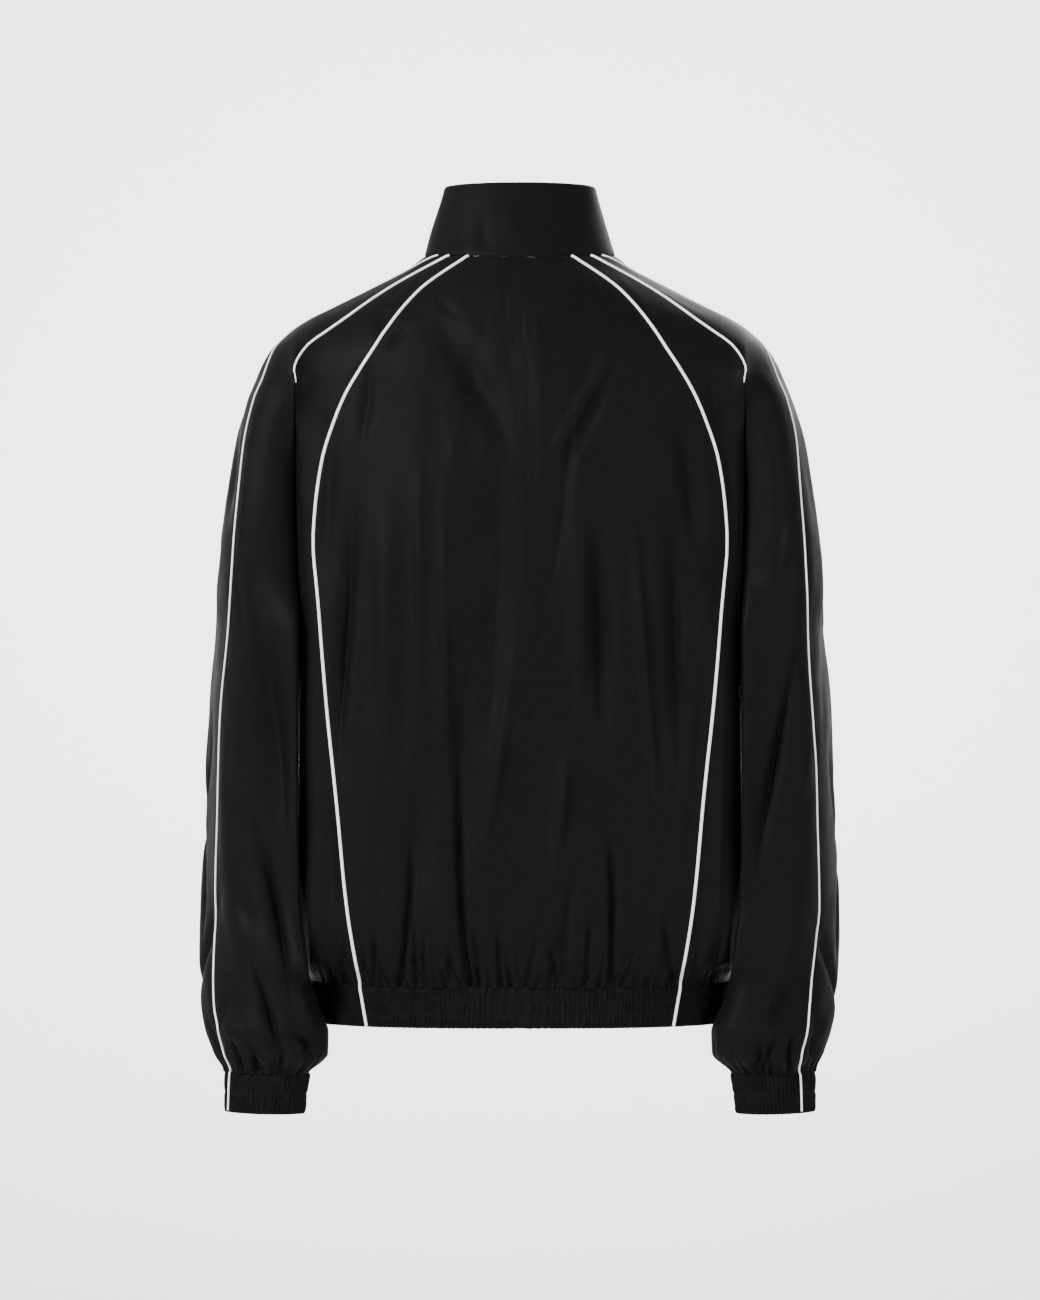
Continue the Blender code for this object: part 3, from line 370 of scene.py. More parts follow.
backGathered = creaseTable(
    (505, 97, 657, 108, -3, 2.8, -5.4, 1.1), (588, 96.5, 657, 93, 0, 2, -3.6, 1.1),
    (600, 80, 657, 81, 6, 2, -3.4, 1.1), (612, 62.5, 657, 63.5, 0, 2, -3.2, 1.1),
    (430, 51, 657, 45, 6, 3.4, -6.4, 1.1), (596, 43, 657, 36, 0, 2.2, -4.2, 1.1),
    (600, 20, 657, 18, 0, 2.1, -3.6, 1.1), (614, 2, 657, -1, 0, 2, -3.2, 1.1),
    (500, -78, 657, -79, -4, 3, -5.8, 1.1), (606, -25, 657, -32, 0, 2.1, -3.6, 1.1),
    (545, -48, 657, -35, 0, 4, -3.0, 1.4), (584, -64, 657, -57, 0, 2.4, -3.6, 1.1),
    (585, -127, 657, -137, 0, 3, -3.6, 1.2), (636, -184, 657, -170, 0, 2.2, -3.4, 1.1),
    (626, 179, 657, 166, 0, 2.2, -3.6, 1.1), (608, 167, 657, 158, 0, 2.2, -3.8, 1.1),
    (618, 143, 657, 138, 0, 2, -3.2, 1.1), (600, 130, 657, 131.5, 0, 2.1, -3.6, 1.1),
)
frontCreases = creaseTable(
    (140, 60, 330, 112, 4, 14, -3.6, 2), (150, -66, 360, -96, -6, 13, -4.2, 2),
    (205, 150, 420, 138, 0, 8, -3.2, 1.6), (250, -150, 470, -128, 0, 9, -3.0, 1.7),
    (330, 74, 560, 60, 3, 10, 2.4, 2), (300, -46, 520, -60, 0, 11, 2.2, 2),
    (120, 120, 250, 168, 3, 8, -2.6, 1.6), (120, -128, 230, -170, -3, 9, -2.8, 1.7),
    (240, 262, 450, 226, 5, 7, -4.4, 1.4), (470, 268, 690, 232, 4, 6, -4.4, 1.3),
    (600, 240, 742, 214, 2, 5, -4.2, 1.2), (250, -266, 470, -228, -4, 7, -4.4, 1.4),
    (500, -270, 690, -236, -3, 6, -4.0, 1.3), (620, -246, 742, -220, 0, 5, -4.2, 1.2),
)
frontGathered = creaseTable(
    (500, 66, 657, 76, 0, 6, -4.6, 1.2), (530, 108, 657, 101, 2, 5, -4.0, 1.2),
    (560, 40, 657, 46, 0, 5, -3.2, 1.2), (520, 140, 657, 132, 0, 6, -3.8, 1.3),
    (590, 160, 657, 152, 0, 4, -2.8, 1.2), (540, -48, 657, -58, 0, 5, -4.0, 1.2),
    (500, -92, 657, -86, 0, 6, -4.6, 1.2), (570, -112, 657, -118, 0, 4, -3.0, 1.2),
    (530, -138, 657, -140, 0, 5, -3.8, 1.3), (600, -30, 657, -34, 0, 4, -2.4, 1.2),
    (610, 24, 657, 27, 0, 4, -2.2, 1.2),
)
bodyFolds = ((backCreases, 1, False), (backGathered, 1, True), (frontCreases, -1, False),
             (frontGathered, -1, True))
# The same for the outer faces of the sleeves, where a crease is placed by its depth from front to back.
leftSleeveCreases = creaseTable(
    (170, -40, 330, 20, 8, 11, -3.4, 1.8), (250, 30, 420, -34, -8, 9, -3.6, 1.5),
    (340, -60, 470, 0, 8, 8, -4.0, 1.3), (400, 40, 560, -20, -6, 8, -3.6, 1.4),
    (470, -30, 640, 44, 8, 7, -4.2, 1.3), (560, 80, 700, 30, -6, 7, -3.6, 1.4),
    (610, 0, 742, 58, 6, 5, -4.4, 1.2), (650, 96, 742, 84, 0, 5, -3.6, 1.2), (120, 20, 260, 60, 4, 12, -2.6, 2),
)
rightSleeveCreases = creaseTable(
    (160, -30, 350, 24, 6, 12, -3.6, 1.8), (270, 40, 400, -30, -8, 8, -3.6, 1.4),
    (330, -64, 500, -6, 6, 8, -4.2, 1.3), (420, 44, 590, -14, -8, 9, -3.4, 1.5),
    (500, -24, 660, 50, 6, 7, -4.0, 1.3), (590, 90, 700, 40, -4, 6, -3.4, 1.4),
    (620, 8, 742, 62, 6, 5, -4.2, 1.2), (660, 100, 742, 90, 0, 5, -3.4, 1.2),
)
crease = {"gathered": 1.5, "free": 2.0, "gatheredRise": 0.45, "wide": 1.25, "narrows": 0.5, "facing": 1.6}


def creaseHeight(rows, across, drop, facing, gathered=False):
    height = np.zeros_like(across)
    for top, topX, low, lowX, bow, halfWidth, tall, sharp in zip(*rows.values()):
        t = np.clip((drop - top) / (low - top), 0, 1)
        along = ease(0, crease["gatheredRise"], t) if gathered else plateau((0, 0.5), (0.5, 1), t)
        middle = topX + (lowX - topX) * t + bow * 4 * t * (1 - t)
        wide = halfWidth * (crease["wide"] - crease["narrows"] * t)
        height += tall * along * np.exp(-((np.abs(across - middle) / wide) ** sharp))
    return height * np.clip(facing * crease["facing"], 0, 1) * crease["gathered" if gathered else "free"]


def smoothNoise(across, down, cell, seed):
    # soft random heights from -1 to 1, on a grid of cells (wide, tall), repeatable from its seed
    grid = np.random.default_rng(seed).uniform(-1, 1, (64, 64))
    u, v = across / cell[0] + 31.7, down / cell[1] + 17.3
    i, j = np.floor(u).astype(int), np.floor(v).astype(int)
    a, b = ease(0, 1, u - i), ease(0, 1, v - j)

    def at(di, dj):
        return grid[(i + di) % 64, (j + dj) % 64]

    return (at(0, 0) * (1 - a) + at(1, 0) * a) * (1 - b) + (at(0, 1) * (1 - a) + at(1, 1) * a) * b


cloth = {
    "thickness": 1.0,
    # a ripple is its height, its cell (wide, tall), its seed, and whether it is calmed near the neck
    "ripples": ((1.5, (40, 150), 3, True), (1.0, (15, 190), 7, True), (0.3, (7, 26), 9, False)),
    "rippleStart": (20, 200),
    # each of these is a share or a depth, and its width
    "seamCalm": (0.75, 7), "gatherCalm": (1.0, 4), "bandCalm": (0.5, 6), "seamDip": (0.9, 1.7),
    "neckDip": (0.7, 1.6), "neckClear": 8,
    "slitInside": (165, 185), "slitOutside": (212, 226), "slitFacing": (0.4, 0.8), "slitCalm": 0.92,
    "slitGatherCalm": 0.85, "zipCalm": (7, 24), "sleeveOuterFace": 205,
    "tucks": ((0.5, 0.6), (0.9, 1.4), (2.4, 2.3)),  # how far below and inward the cloth turns under its band
}
hemGathers = {"pitch": (5.5, 14.5), "depth": (2.6, 6.2), "reach": (9, 50), "halfWidth": (1.4, 2.4),
              "lobe": 3.0, "lobeReach": 26, "seed": 11, "arcDrop": 645.0}
cuffGathers = {"pitch": (6.0, 13.0), "depth": (2.6, 6.0), "reach": (10, 40), "halfWidth": (1.5, 2.5),
               "lobe": 3.0, "lobeReach": 20, "seed": 23, "arcDrop": 722.0}
gather = {"start": 6, "lean": 0.22, "bend": 0.0016, "widens": 45, "fade": 1.6, "sharp": 1.05}


def gatherHeight(facts, arc, up, length, seed):
    # round lobes with pinched valleys between them, uneven in pitch, depth, reach and lean
    draw = np.random.default_rng(facts["seed"] + seed)
    height = facts["lobe"] * np.exp(-up / facts["lobeReach"]) * np.ones_like(arc)
    place = -length / 2 + gather["start"]
    while place < length / 2:
        depth, reach = draw.uniform(*facts["depth"]), draw.uniform(*facts["reach"])
        halfWidth, lean = draw.uniform(*facts["halfWidth"]), draw.uniform(-gather["lean"], gather["lean"])
        off = np.abs(arc - place - lean * up * (1 + gather["bend"] * up))
        off = off / (halfWidth * (1 + up / gather["widens"]))
        height -= depth * np.exp(-((up / reach) ** gather["fade"]) - off ** gather["sharp"])
        place += draw.uniform(*facts["pitch"])
    return height


def arcTable(loop, drop, low, high):
    angles = np.linspace(low, high, 721)
    x, y = loop(np.full_like(angles, drop), angles)
    steps = np.hypot(np.diff(x), np.diff(y))
    lengths = np.concatenate(([0], np.cumsum(steps)))
    return angles, lengths - lengths[-1] / 2


hemArc = arcTable(bodyLoop, hemGathers["arcDrop"], -180, 180)
cuffArc = arcTable(sleeveLoop, cuffGathers["arcDrop"], -180, 360)


def panelDrops(group):
    seam = levels["hemSeam"] if group == "body" else levels["cuffSeam"]
    *drops, at = mesher["topRows"]
    while at < seam - 4:
        drops.append(at)
        gathered = at > seam - mesher["gatherStart"]
        at += mesher["shoulderRow" if at < mesher["shoulderEnd"] else "gatherRow" if gathered else "row"]
    return np.array(drops + [seam - up for up in mesher["lowRows"]])[:, None], seam


def panelFractions(panel, side, drops):
    # columns at fixed distances beside both seams, and even between them
    dense = np.linspace(0, 1, 81)[None, :]
    points, _ = section(panel, side, drops, dense)
    lengths = runLengths(points, 1)
    total = lengths[:, -1:]
    edge = np.array(mesher["nearSeam"])[None, :] * np.minimum(1, total / mesher["narrow"])
    count = panel["columns"]
    middle = edge[:, -1:] + (total - 2 * edge[:, -1:]) * np.linspace(0, 1, count + 1)[None, 1:-1]
    wanted = np.concatenate((edge, middle, (total - edge)[:, ::-1]), axis=1)
    return np.array([np.interp(want, have, dense[0]) for want, have in zip(wanted, lengths)])


def panelSurface(name, panel, side):
    drops, seam = panelDrops(panel["group"])
    base, own = section(panel, side, drops, panelFractions(panel, side, drops))
    facing = gridNormals(base, side)
    fromStart = runLengths(base, 1)
    fromEnd = fromStart[:, -1:] - fromStart
    fromSeam = np.minimum(fromStart, fromEnd)
    x, y = base[..., 0], base[..., 1]
    drop = np.broadcast_to(drops, x.shape)
    up = np.clip(seam - drop, 0, None)

    def calm(what, distance):
        share, width = cloth[what]
        return 1 - share * bell(distance, width)

    height = sum(creaseHeight(rows, x, drop, faces * facing[..., 1], gathered)
                 for rows, faces, gathered in bodyFolds)
    if panel["group"] == "sleeve":
        outward = np.where(np.abs(x) > cloth["sleeveOuterFace"], facing[..., 0], 0)
        height += creaseHeight(leftSleeveCreases, y, drop, outward)
        height += creaseHeight(rightSleeveCreases, y, drop, -outward)
    ofBody = panel["group"] == "body"
    angles, lengths = hemArc if ofBody else cuffArc
    arc = np.interp(own, angles, lengths) * (side if name != "back_centre" else 1)
    for tall, cell, seed, fades in cloth["ripples"]:
        share = ease(*cloth["rippleStart"], drop) if fades else 1
        height += tall * share * smoothNoise(arc, drop, cell, seed + side)
    beside = plateau(cloth["slitInside"], cloth["slitOutside"], np.abs(x))
    beside = beside * ease(*cloth["slitFacing"], np.abs(facing[..., 0]))
    height *= calm("seamCalm", fromSeam) * (1 - cloth["slitCalm"] * beside)
    height *= 1 - cloth["bandCalm"][0] * np.exp(-up / cloth["bandCalm"][1])
    gathers = gatherHeight(hemGathers if ofBody else cuffGathers, arc, up, lengths[-1] - lengths[0],
                           0 if ofBody else side)
    height += gathers * calm("gatherCalm", fromSeam) * (1 - cloth["slitGatherCalm"] * beside)
    if panel["end"] == "centreFront":
        height *= ease(*cloth["zipCalm"], fromEnd)
    dip, width = cloth["seamDip"]
    height -= dip * bell(fromSeam, width) * ease(0, cloth["neckClear"], drop)
    dip, width = cloth["neckDip"]
    height -= dip * bell(drop, width)
    points = base + facing * height[..., None]
    tucks = [points[-1] - facing[-1] * inward - np.array((0, 0, below)) for below, inward in cloth["tucks"]]
    return np.concatenate((points, np.array(tucks)), axis=0)


def hexColour(text):
    # an sRGB hex value, as linear red, green, blue and alpha
    parts = [int(text[i : i + 2], 16) / 255 for i in (0, 2, 4)]
    return (*[c / 12.92 if c <= 0.04045 else ((c + 0.055) / 1.055) ** 2.4 for c in parts], 1.0)


def addNode(tree, kind, inputs=None, **settings):
    node = tree.nodes.new(kind)
    for name, value in settings.items():
        setattr(node, name, value)
    for key, value in (inputs or {}).items():
        if isinstance(value, bpy.types.NodeSocket):
            tree.links.new(value, node.inputs[key])
        else:
            node.inputs[key].default_value = value
    return node


def maths(tree, operation, first, second=0.0):
    return addNode(tree, "ShaderNodeMath", {0: first, 1: second}, operation=operation).outputs[0]


def noise(tree, place, scale, detail):
    return addNode(tree, "ShaderNodeTexNoise", {"Vector": place, "Scale": scale, "Detail": detail}).outputs[0]


def ranged(tree, value, low, high, newLow=0.0, newHigh=1.0):
    inputs = {0: value, 1: low, 2: high, 3: newLow, 4: newHigh}
    return addNode(tree, "ShaderNodeMapRange", inputs).outputs[0]


noiseRange = (0.35, 0.65)  # the values of a noise that a look's darkest and lightest shades lie at


def newMaterial(name, shader):
    made = bpy.data.materials.new(name)
    made.use_nodes = True
    principled = made.node_tree.nodes["Principled BSDF"]
    for key, value in shader.items():
        principled.inputs[key].default_value = value
    return made, made.node_tree, principled


def tint(tree, shader, look, shade):
    colour = addNode(tree, "ShaderNodeMix", {0: shade, 6: hexColour(look["dark"]), 7: hexColour(look["light"])},
                     data_type="RGBA")
    tree.links.new(colour.outputs[2], shader.inputs["Base Color"])


def addBump(tree, shader, strength, depth, height):
    bump = addNode(tree, "ShaderNodeBump", {"Strength": strength, "Distance": depth * mm, "Height": height})
    tree.links.new(bump.outputs[0], shader.inputs["Normal"])


def wovenPolyester(name, look):
    # woven polyester taffeta: a soft satin sheen, broken by slubs that run along the weft
    made, tree, shader = newMaterial(name, look["shader"])
    place = addNode(tree, "ShaderNodeUVMap", uv_map="cloth").outputs["UV"]
    length, width = 1 / look["slubLength"] / mm, 1 / look["slubWidth"] / mm
    slubs = addNode(tree, "ShaderNodeMapping", {"Vector": place, "Scale": (length, width, 1)}).outputs[0]
    warps = addNode(tree, "ShaderNodeMapping", {"Vector": place, "Scale": (width, length, 1)}).outputs[0]
    both = maths(tree, "ADD", noise(tree, slubs, 1.0, 3.0), noise(tree, warps, 1.0, 2.0))
    threads = maths(tree, "MULTIPLY", both, 0.5)
    uneven = maths(tree, "ADD", noise(tree, place, 1 / look["patchSize"] / mm, 2.0), threads)
    tint(tree, shader, look, ranged(tree, threads, *noiseRange))
    tree.links.new(ranged(tree, uneven, 0.75, 1.25, *look["roughness"]), shader.inputs["Roughness"])
    addBump(tree, shader, look["bump"], look["threadHeight"], threads)
    return made


clothLook = {
    "dark": "070707", "light": "0e0e0f", "slubLength": 14.0, "slubWidth": 1.1,  # coarser than real threads
    "patchSize": 60.0, "roughness": (0.54, 0.68), "bump": 0.6, "threadHeight": 0.3,
    "shader": {"IOR": 1.15, "Specular IOR Level": 0.5, "Sheen Weight": 0.01, "Sheen Roughness": 0.4},
}
bandLook = dict(clothLook, dark="060607", light="0f0f11", slubLength=6.0, slubWidth=0.8,
                roughness=(0.6, 0.72), bump=0.4)


ribHeight = 0.1


def wovenTrim(name, look):
    # polyester satin ribbon and thread: fine ribs across it, and a soft even gloss
    made, tree, shader = newMaterial(name, look["shader"])
    place = addNode(tree, "ShaderNodeTexCoord").outputs["Object"]
    ribs = noise(tree, place, 1 / look["grain"] / mm, 3.0)
    tint(tree, shader, look, ranged(tree, ribs, *noiseRange))
    addBump(tree, shader, look["bump"], ribHeight, ribs)
    return made


pipingLook = {"dark": "f4f4f2", "light": "fefefc", "grain": 0.8, "bump": 0.2,
              "shader": {"Roughness": 0.55, "Sheen Weight": 0.1}}
tapeLook = {"dark": "0c0c0d", "light": "1a1a1c", "grain": 0.9, "bump": 0.6, "shader": {"Roughness": 0.75}}
threadLook = {"dark": "040405", "light": "0c0c0e", "grain": 0.5, "bump": 0.3,
              "shader": {"Roughness": 0.6, "IOR": 1.2}}


def blackNickel(name, look):
    # zinc alloy, die cast and plated in black nickel: dark and glossy, with faint rub marks
    made, tree, shader = newMaterial(name, look["shader"])
    place = addNode(tree, "ShaderNodeTexCoord").outputs["Object"]
    rubs = noise(tree, place, 1 / look["rubSize"] / mm, 4.0)
    tint(tree, shader, look, ranged(tree, rubs, 0.35, 0.7))
    tree.links.new(ranged(tree, rubs, 0.3, 0.7, *look["roughness"]), shader.inputs["Roughness"])
    return made


metalLook = {"dark": "3c3c3f", "light": "4c4c50", "rubSize": 2.5, "roughness": (0.22, 0.38),
             "shader": {"Metallic": 1.0}}
teethLook = {"dark": "101012", "light": "1c1c1e", "grain": 1.2, "bump": 0.1,
             "shader": {"Roughness": 0.32}}  # moulded polyacetal, smooth and slightly glossy

fabric = wovenPolyester("wovenPolyester", clothLook)
bandFabric = wovenPolyester("shirredPolyester", bandLook)
pipingSatin = wovenTrim("pipingSatin", pipingLook)
zipTapeWeave = wovenTrim("zipTapeWeave", tapeLook)
thread = wovenTrim("polyesterThread", threadLook)
teethPlastic = wovenTrim("mouldedTeeth", teethLook)
metal = blackNickel("blackNickel", metalLook)


def addObject(name, data):
    made = bpy.data.objects.new(name, data)
    bpy.context.scene.collection.objects.link(made)
    return made


def quadsOf(number):
    # the corners of each cell of a grid of numbers
    corners = (number[:-1, :-1], number[:-1, 1:], number[1:, 1:], number[1:, :-1])
    return np.stack(corners, axis=2).reshape(-1, 4)


def numbered(shape):
    return np.arange(shape[0] * shape[1]).reshape(shape[:2])


def meshOf(name, points, edges, faces, finish=None):
    # points are in millimetres
    mesh = bpy.data.meshes.new(name)
    mesh.from_pydata((points.reshape(-1, 3) * mm).tolist(), edges, faces)
    if finish:
        mesh.materials.append(finish)
        mesh.shade_smooth()
    return mesh


def gridObject(name, points, side, finish, closed=False, attributes=None):
    # a sheet of faces through a grid of points, facing out, with its cloth UVs in metres
    number = numbered(points.shape)
    wrapped = wrap(points) if closed else points
    quads, corners = quadsOf(wrap(number) if closed else number), quadsOf(numbered(wrapped.shape))
    across, down = runLengths(wrapped, 1), runLengths(wrapped, 0)
    middle = across.shape[1] // 2
    uv = np.stack((across - across[:, middle : middle + 1], -down), axis=2) * mm
    if side < 0:
        quads, corners = quads[:, ::-1], corners[:, ::-1]
    mesh = meshOf(name, points, [], quads.tolist(), finish)
    layer = mesh.uv_layers.new(name="cloth")
    layer.data.foreach_set("uv", uv.reshape(-1, 2)[corners.reshape(-1)].astype(np.float32).ravel())
    for key, values in (attributes or {}).items():
        kept = mesh.attributes.new(key, "FLOAT", "POINT")
        kept.data.foreach_set("value", values.astype(np.float32).ravel())
    return addObject(name, mesh)


def thicken(obj, thickness):
    change = obj.modifiers.new("wall", "SOLIDIFY")
    change.thickness, change.offset = thickness * mm, -1
    change.use_rim, change.use_even_offset = True, False


def cutOf(points):
    # width, length and area of the flat piece that a grid of points was cut from, in metres
    width, length = runLengths(points, 1)[:, -1].max(), runLengths(points, 0)[-1].max()
    across, down = np.diff(points, axis=1)[:-1], np.diff(points, axis=0)[:, :-1]
    area = np.linalg.norm(np.cross(across, down), axis=2).sum()
    return (width * mm, length * mm), min(area * mm * mm, width * length * mm * mm)


def declare(obj, node):
    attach(obj, "garment")
    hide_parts(node)


panelGrids = {}
for name, panel in panels.items():
    for side, suffix in sides:
        if name == "back_centre" and side < 0:
            continue
        fullName = name if name == "back_centre" else name + suffix
        points = panelSurface(name, panel, side)
        panelGrids[fullName] = points
        made = gridObject("cloth_" + fullName, points, side, fabric)
        thicken(made, cloth["thickness"])
        declare(made, fullName)
        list(cutOf(points))


# Collar: a doubled band that stands up and rolls over at its top edge. A dip is its depth and its width.
collar = {
    "thickness": 2.0, "tall": 66, "topRoll": (1.1, 1.1), "neckDip": (0.5, 1.4), "groove": (0.55, 1.2),
    "grooveBelowTop": 21.0, "grooveEnds": (12, 30), "grooveHalfLength": 60, "soft": 0.8, "softCell": (30, 40),
    "creases": 0.6, "creaseStart": (0.01, 0.14), "creaseEnd": (0.86, 0.97), "zipCalm": (0.012, 0.05),
    "rows": (0.002, 0.93, 30), "topRows": (0.945, 1, 6), "columns": 170,
    "bevel": 0.7, "bevelSegments": 3, "bevelAngle": 60,
}
collarBackCreases = creaseTable(
    (-52, 34, 6, 28, 2, 5, -1.8, 1.5), (-38, 66, 8, 46, 2, 5, -2.2, 1.5), (-30, 58, 10, 34, 2, 5, 1.2, 1.8),
    (-16, -44, 14, -72, 0, 5, -2.0, 1.5), (-30, -40, 6, -60, 0, 5, 1.2, 1.8),
    (-62, -6, -8, -14, 0, 12, -0.9, 2), (-58, 8, -4, 4, 0, 10, 0.9, 2), (-60, -50, -20, -46, 0, 8, -1.1, 1.8),
)
collarFrontCreases = creaseTable(
    (-130, 40, -20, 52, 0, 7, -1.4, 1.6), (-130, -40, -20, -56, 0, 7, -1.4, 1.6),
)


def collarShape(height, fraction):
    # height runs from 0 at the neck seam to 1 at the top edge
    top, zero = collarTop, np.zeros(1)
    baseHalf, back, front = shoulderHalfWidth(zero)[0], bodyAt("back", zero)[0], bodyAt("front", zero)[0]
    edge = 180 - ovalAngle(zipHalfGap, baseHalf, shoulderRoundness)
    angle = edge * (2 * fraction - 1)
    x, y = oval(baseHalf + (top["halfWidth"] - baseHalf) * height, back + (top["back"] - back) * height,
                front + (top["front"] - front) * height, shoulderRoundness, angle)
    sine, cosine = sineCosine(angle)
    middle = np.where(cosine >= 0, top["backRise"], top["frontRise"])
    tall = middle * (1 - sine**2) + top["sideRise"] * sine**2
    return np.stack((x, y, neckLift(angle) + tall * height + 0 * x), axis=2)


def evenFractions(shape, level, count):
    dense = np.linspace(0, 1, 1201)[None, :]
    lengths = runLengths(shape(np.array([[level]]), dense), 1)[0]
    return np.interp(np.linspace(0, lengths[-1], count + 1), lengths, dense[0])[None, :]


def buildCollar():
    heights = np.concatenate((np.linspace(*collar["rows"]), np.linspace(*collar["topRows"])))[::-1, None]
    fractions = evenFractions(collarShape, 0.5, collar["columns"])
    points = collarShape(heights, fractions)
    facing = gridNormals(points, 1)
    x, z, behind = points[..., 0], points[..., 2], facing[..., 1]
    fromTop = (1 - heights) * collar["tall"]
    height = creaseHeight(collarBackCreases, x, -z, behind) + creaseHeight(collarFrontCreases, x, -z, -behind)
    height *= collar["creases"] * plateau(collar["creaseStart"], collar["creaseEnd"], heights)
    height += collar["soft"] * smoothNoise(x, z, collar["softCell"], 5) * np.sin(math.pi * heights) ** 0.5
    depth, width = collar["groove"]
    grooved = ease(*collar["grooveEnds"], collar["grooveHalfLength"] - np.abs(x)) * np.clip(behind, 0, 1)
    height -= depth * grooved * bell(fromTop - collar["grooveBelowTop"], width)
    dips = ((collar["topRoll"], fromTop), (collar["neckDip"], collar["tall"] - fromTop))
    for (depth, width), distance in dips:
        height -= depth * bell(distance, width)
    height *= ease(*collar["zipCalm"], np.minimum(fractions, 1 - fractions))
    points = points + facing * height[..., None]
    made = gridObject("collar_stand", points, 1, fabric)
    thicken(made, collar["thickness"])
    roll = made.modifiers.new("roll", "BEVEL")
    roll.width, roll.segments = collar["bevel"] * mm, collar["bevelSegments"]
    roll.limit_method, roll.angle_limit = "ANGLE", math.radians(collar["bevelAngle"])
    declare(made, "collar")
    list(cutOf(points))


buildCollar()
print("collar")


def newTree(name, inputs):
    tree = bpy.data.node_groups.new(name, "GeometryNodeTree")
    tree.is_modifier = True
    tree.interface.new_socket("Geometry", in_out="INPUT", socket_type="NodeSocketGeometry")
    for label, kind in inputs.items():
        tree.interface.new_socket(label, in_out="INPUT", socket_type=kind)
    tree.interface.new_socket("Geometry", in_out="OUTPUT", socket_type="NodeSocketGeometry")
    return tree, addNode(tree, "NodeGroupInput"), addNode(tree, "NodeGroupOutput")


def runTree(base, tree, values):
    # sets the inputs by their identifiers, then keeps the result as a plain mesh in the base's place
    change = base.modifiers.new(tree.name, "NODES")
    change.node_group = tree
    for socket in tree.interface.items_tree:
        if socket.in_out == "INPUT" and socket.name in values:
            change[socket.identifier] = values[socket.name]
    base.update_tag()
    bpy.context.view_layer.update()
    evaluated = base.evaluated_get(bpy.context.evaluated_depsgraph_get())
    mesh = bpy.data.meshes.new_from_object(evaluated)
    mesh.name = name = base.name
    base.name = name + "_base"
    made = addObject(name, mesh)
    bpy.data.objects.remove(base)
    return made


def namedValue(tree, name, kind="FLOAT"):
    found = addNode(tree, "GeometryNodeInputNamedAttribute", {"Name": name}, data_type=kind)
    return found.outputs["Attribute"]


def finishTree(tree, geometry, given, out):
    real = addNode(tree, "GeometryNodeRealizeInstances", {0: geometry})
    finish = addNode(tree, "GeometryNodeSetMaterial", {0: real.outputs[0],
                     "Material": given.outputs["Material"]})
    tree.links.new(finish.outputs[0], out.inputs[0])
    return tree


pucker = {"unevenness": (0.16, 0.06, 1.0), "share": (0.45, 1.2)}


def shirringTree():
    # raises uneven vertical puckers on a band, pinched where its elastic is stitched
    tree, given, out = newTree("shirring", {
        "Pitch": "NodeSocketFloat", "Height": "NodeSocketFloat", "Wander": "NodeSocketFloat",
        "Seed": "NodeSocketInt", "Material": "NodeSocketMaterial"})
    across, down, pinch = (namedValue(tree, name) for name in ("across", "down", "pinch"))
    place = addNode(tree, "ShaderNodeCombineXYZ", {0: across, 1: down, 2: given.outputs["Seed"]})
    stretch = addNode(tree, "ShaderNodeVectorMath", {0: place.outputs[0], 1: pucker["unevenness"]},
                      operation="MULTIPLY")
    uneven = noise(tree, stretch.outputs[0], 1.0, 2.0)
    shift = maths(tree, "MULTIPLY", maths(tree, "SUBTRACT", uneven, 0.5), given.outputs["Wander"])
    turns = maths(tree, "DIVIDE", maths(tree, "ADD", across, shift), given.outputs["Pitch"])
    wave = maths(tree, "SINE", maths(tree, "MULTIPLY", turns, 2 * math.pi))
    tall = maths(tree, "MULTIPLY", wave, ranged(tree, uneven, *noiseRange, *pucker["share"]))
    raised = maths(tree, "MULTIPLY", maths(tree, "MULTIPLY", tall, pinch), given.outputs["Height"])
    normal = addNode(tree, "GeometryNodeInputNormal")
    offset = addNode(tree, "ShaderNodeVectorMath", {0: normal.outputs[0], "Scale": raised}, operation="SCALE")
    put = addNode(tree, "GeometryNodeSetPosition", {"Geometry": given.outputs["Geometry"],
                  "Offset": offset.outputs[0]})
    return finishTree(tree, put.outputs[0], given, out)


band = {"thickness": 1.6, "pitch": 3.1, "height": 0.95, "wander": 5.0, "columnsPerPucker": 5,
        "rowSpacing": 3.0, "hemStitchRows": (0.34, 0.67), "cuffStitchRows": (0.5,),
        "groove": 0.45, "pinch": (0.7, 1.1), "edgePinch": (0.5, 1.2),  # a share and a width
        "edgeDip": (0.8, 0.8), "edgeRows": (0.6, 0.7), "wave": 0.5, "waveCell": (19, 60)}
shirring = shirringTree()


def hemBandShape(drop, fraction):
    edge = bodyAngle("centreFront", drop, 1)
    x, y = bodyLoop(drop, edge * (2 * fraction - 1))
    return np.stack((x, y, -drop + 0 * x), axis=2)


def cuffShape(side):
    def shape(drop, fraction):
        x, y = sleeveLoop(drop, sleeveAngle("armholeBack", drop, side) + 360 * fraction)
        return np.stack((x * side, y, -drop + 0 * x), axis=2)

    return shape


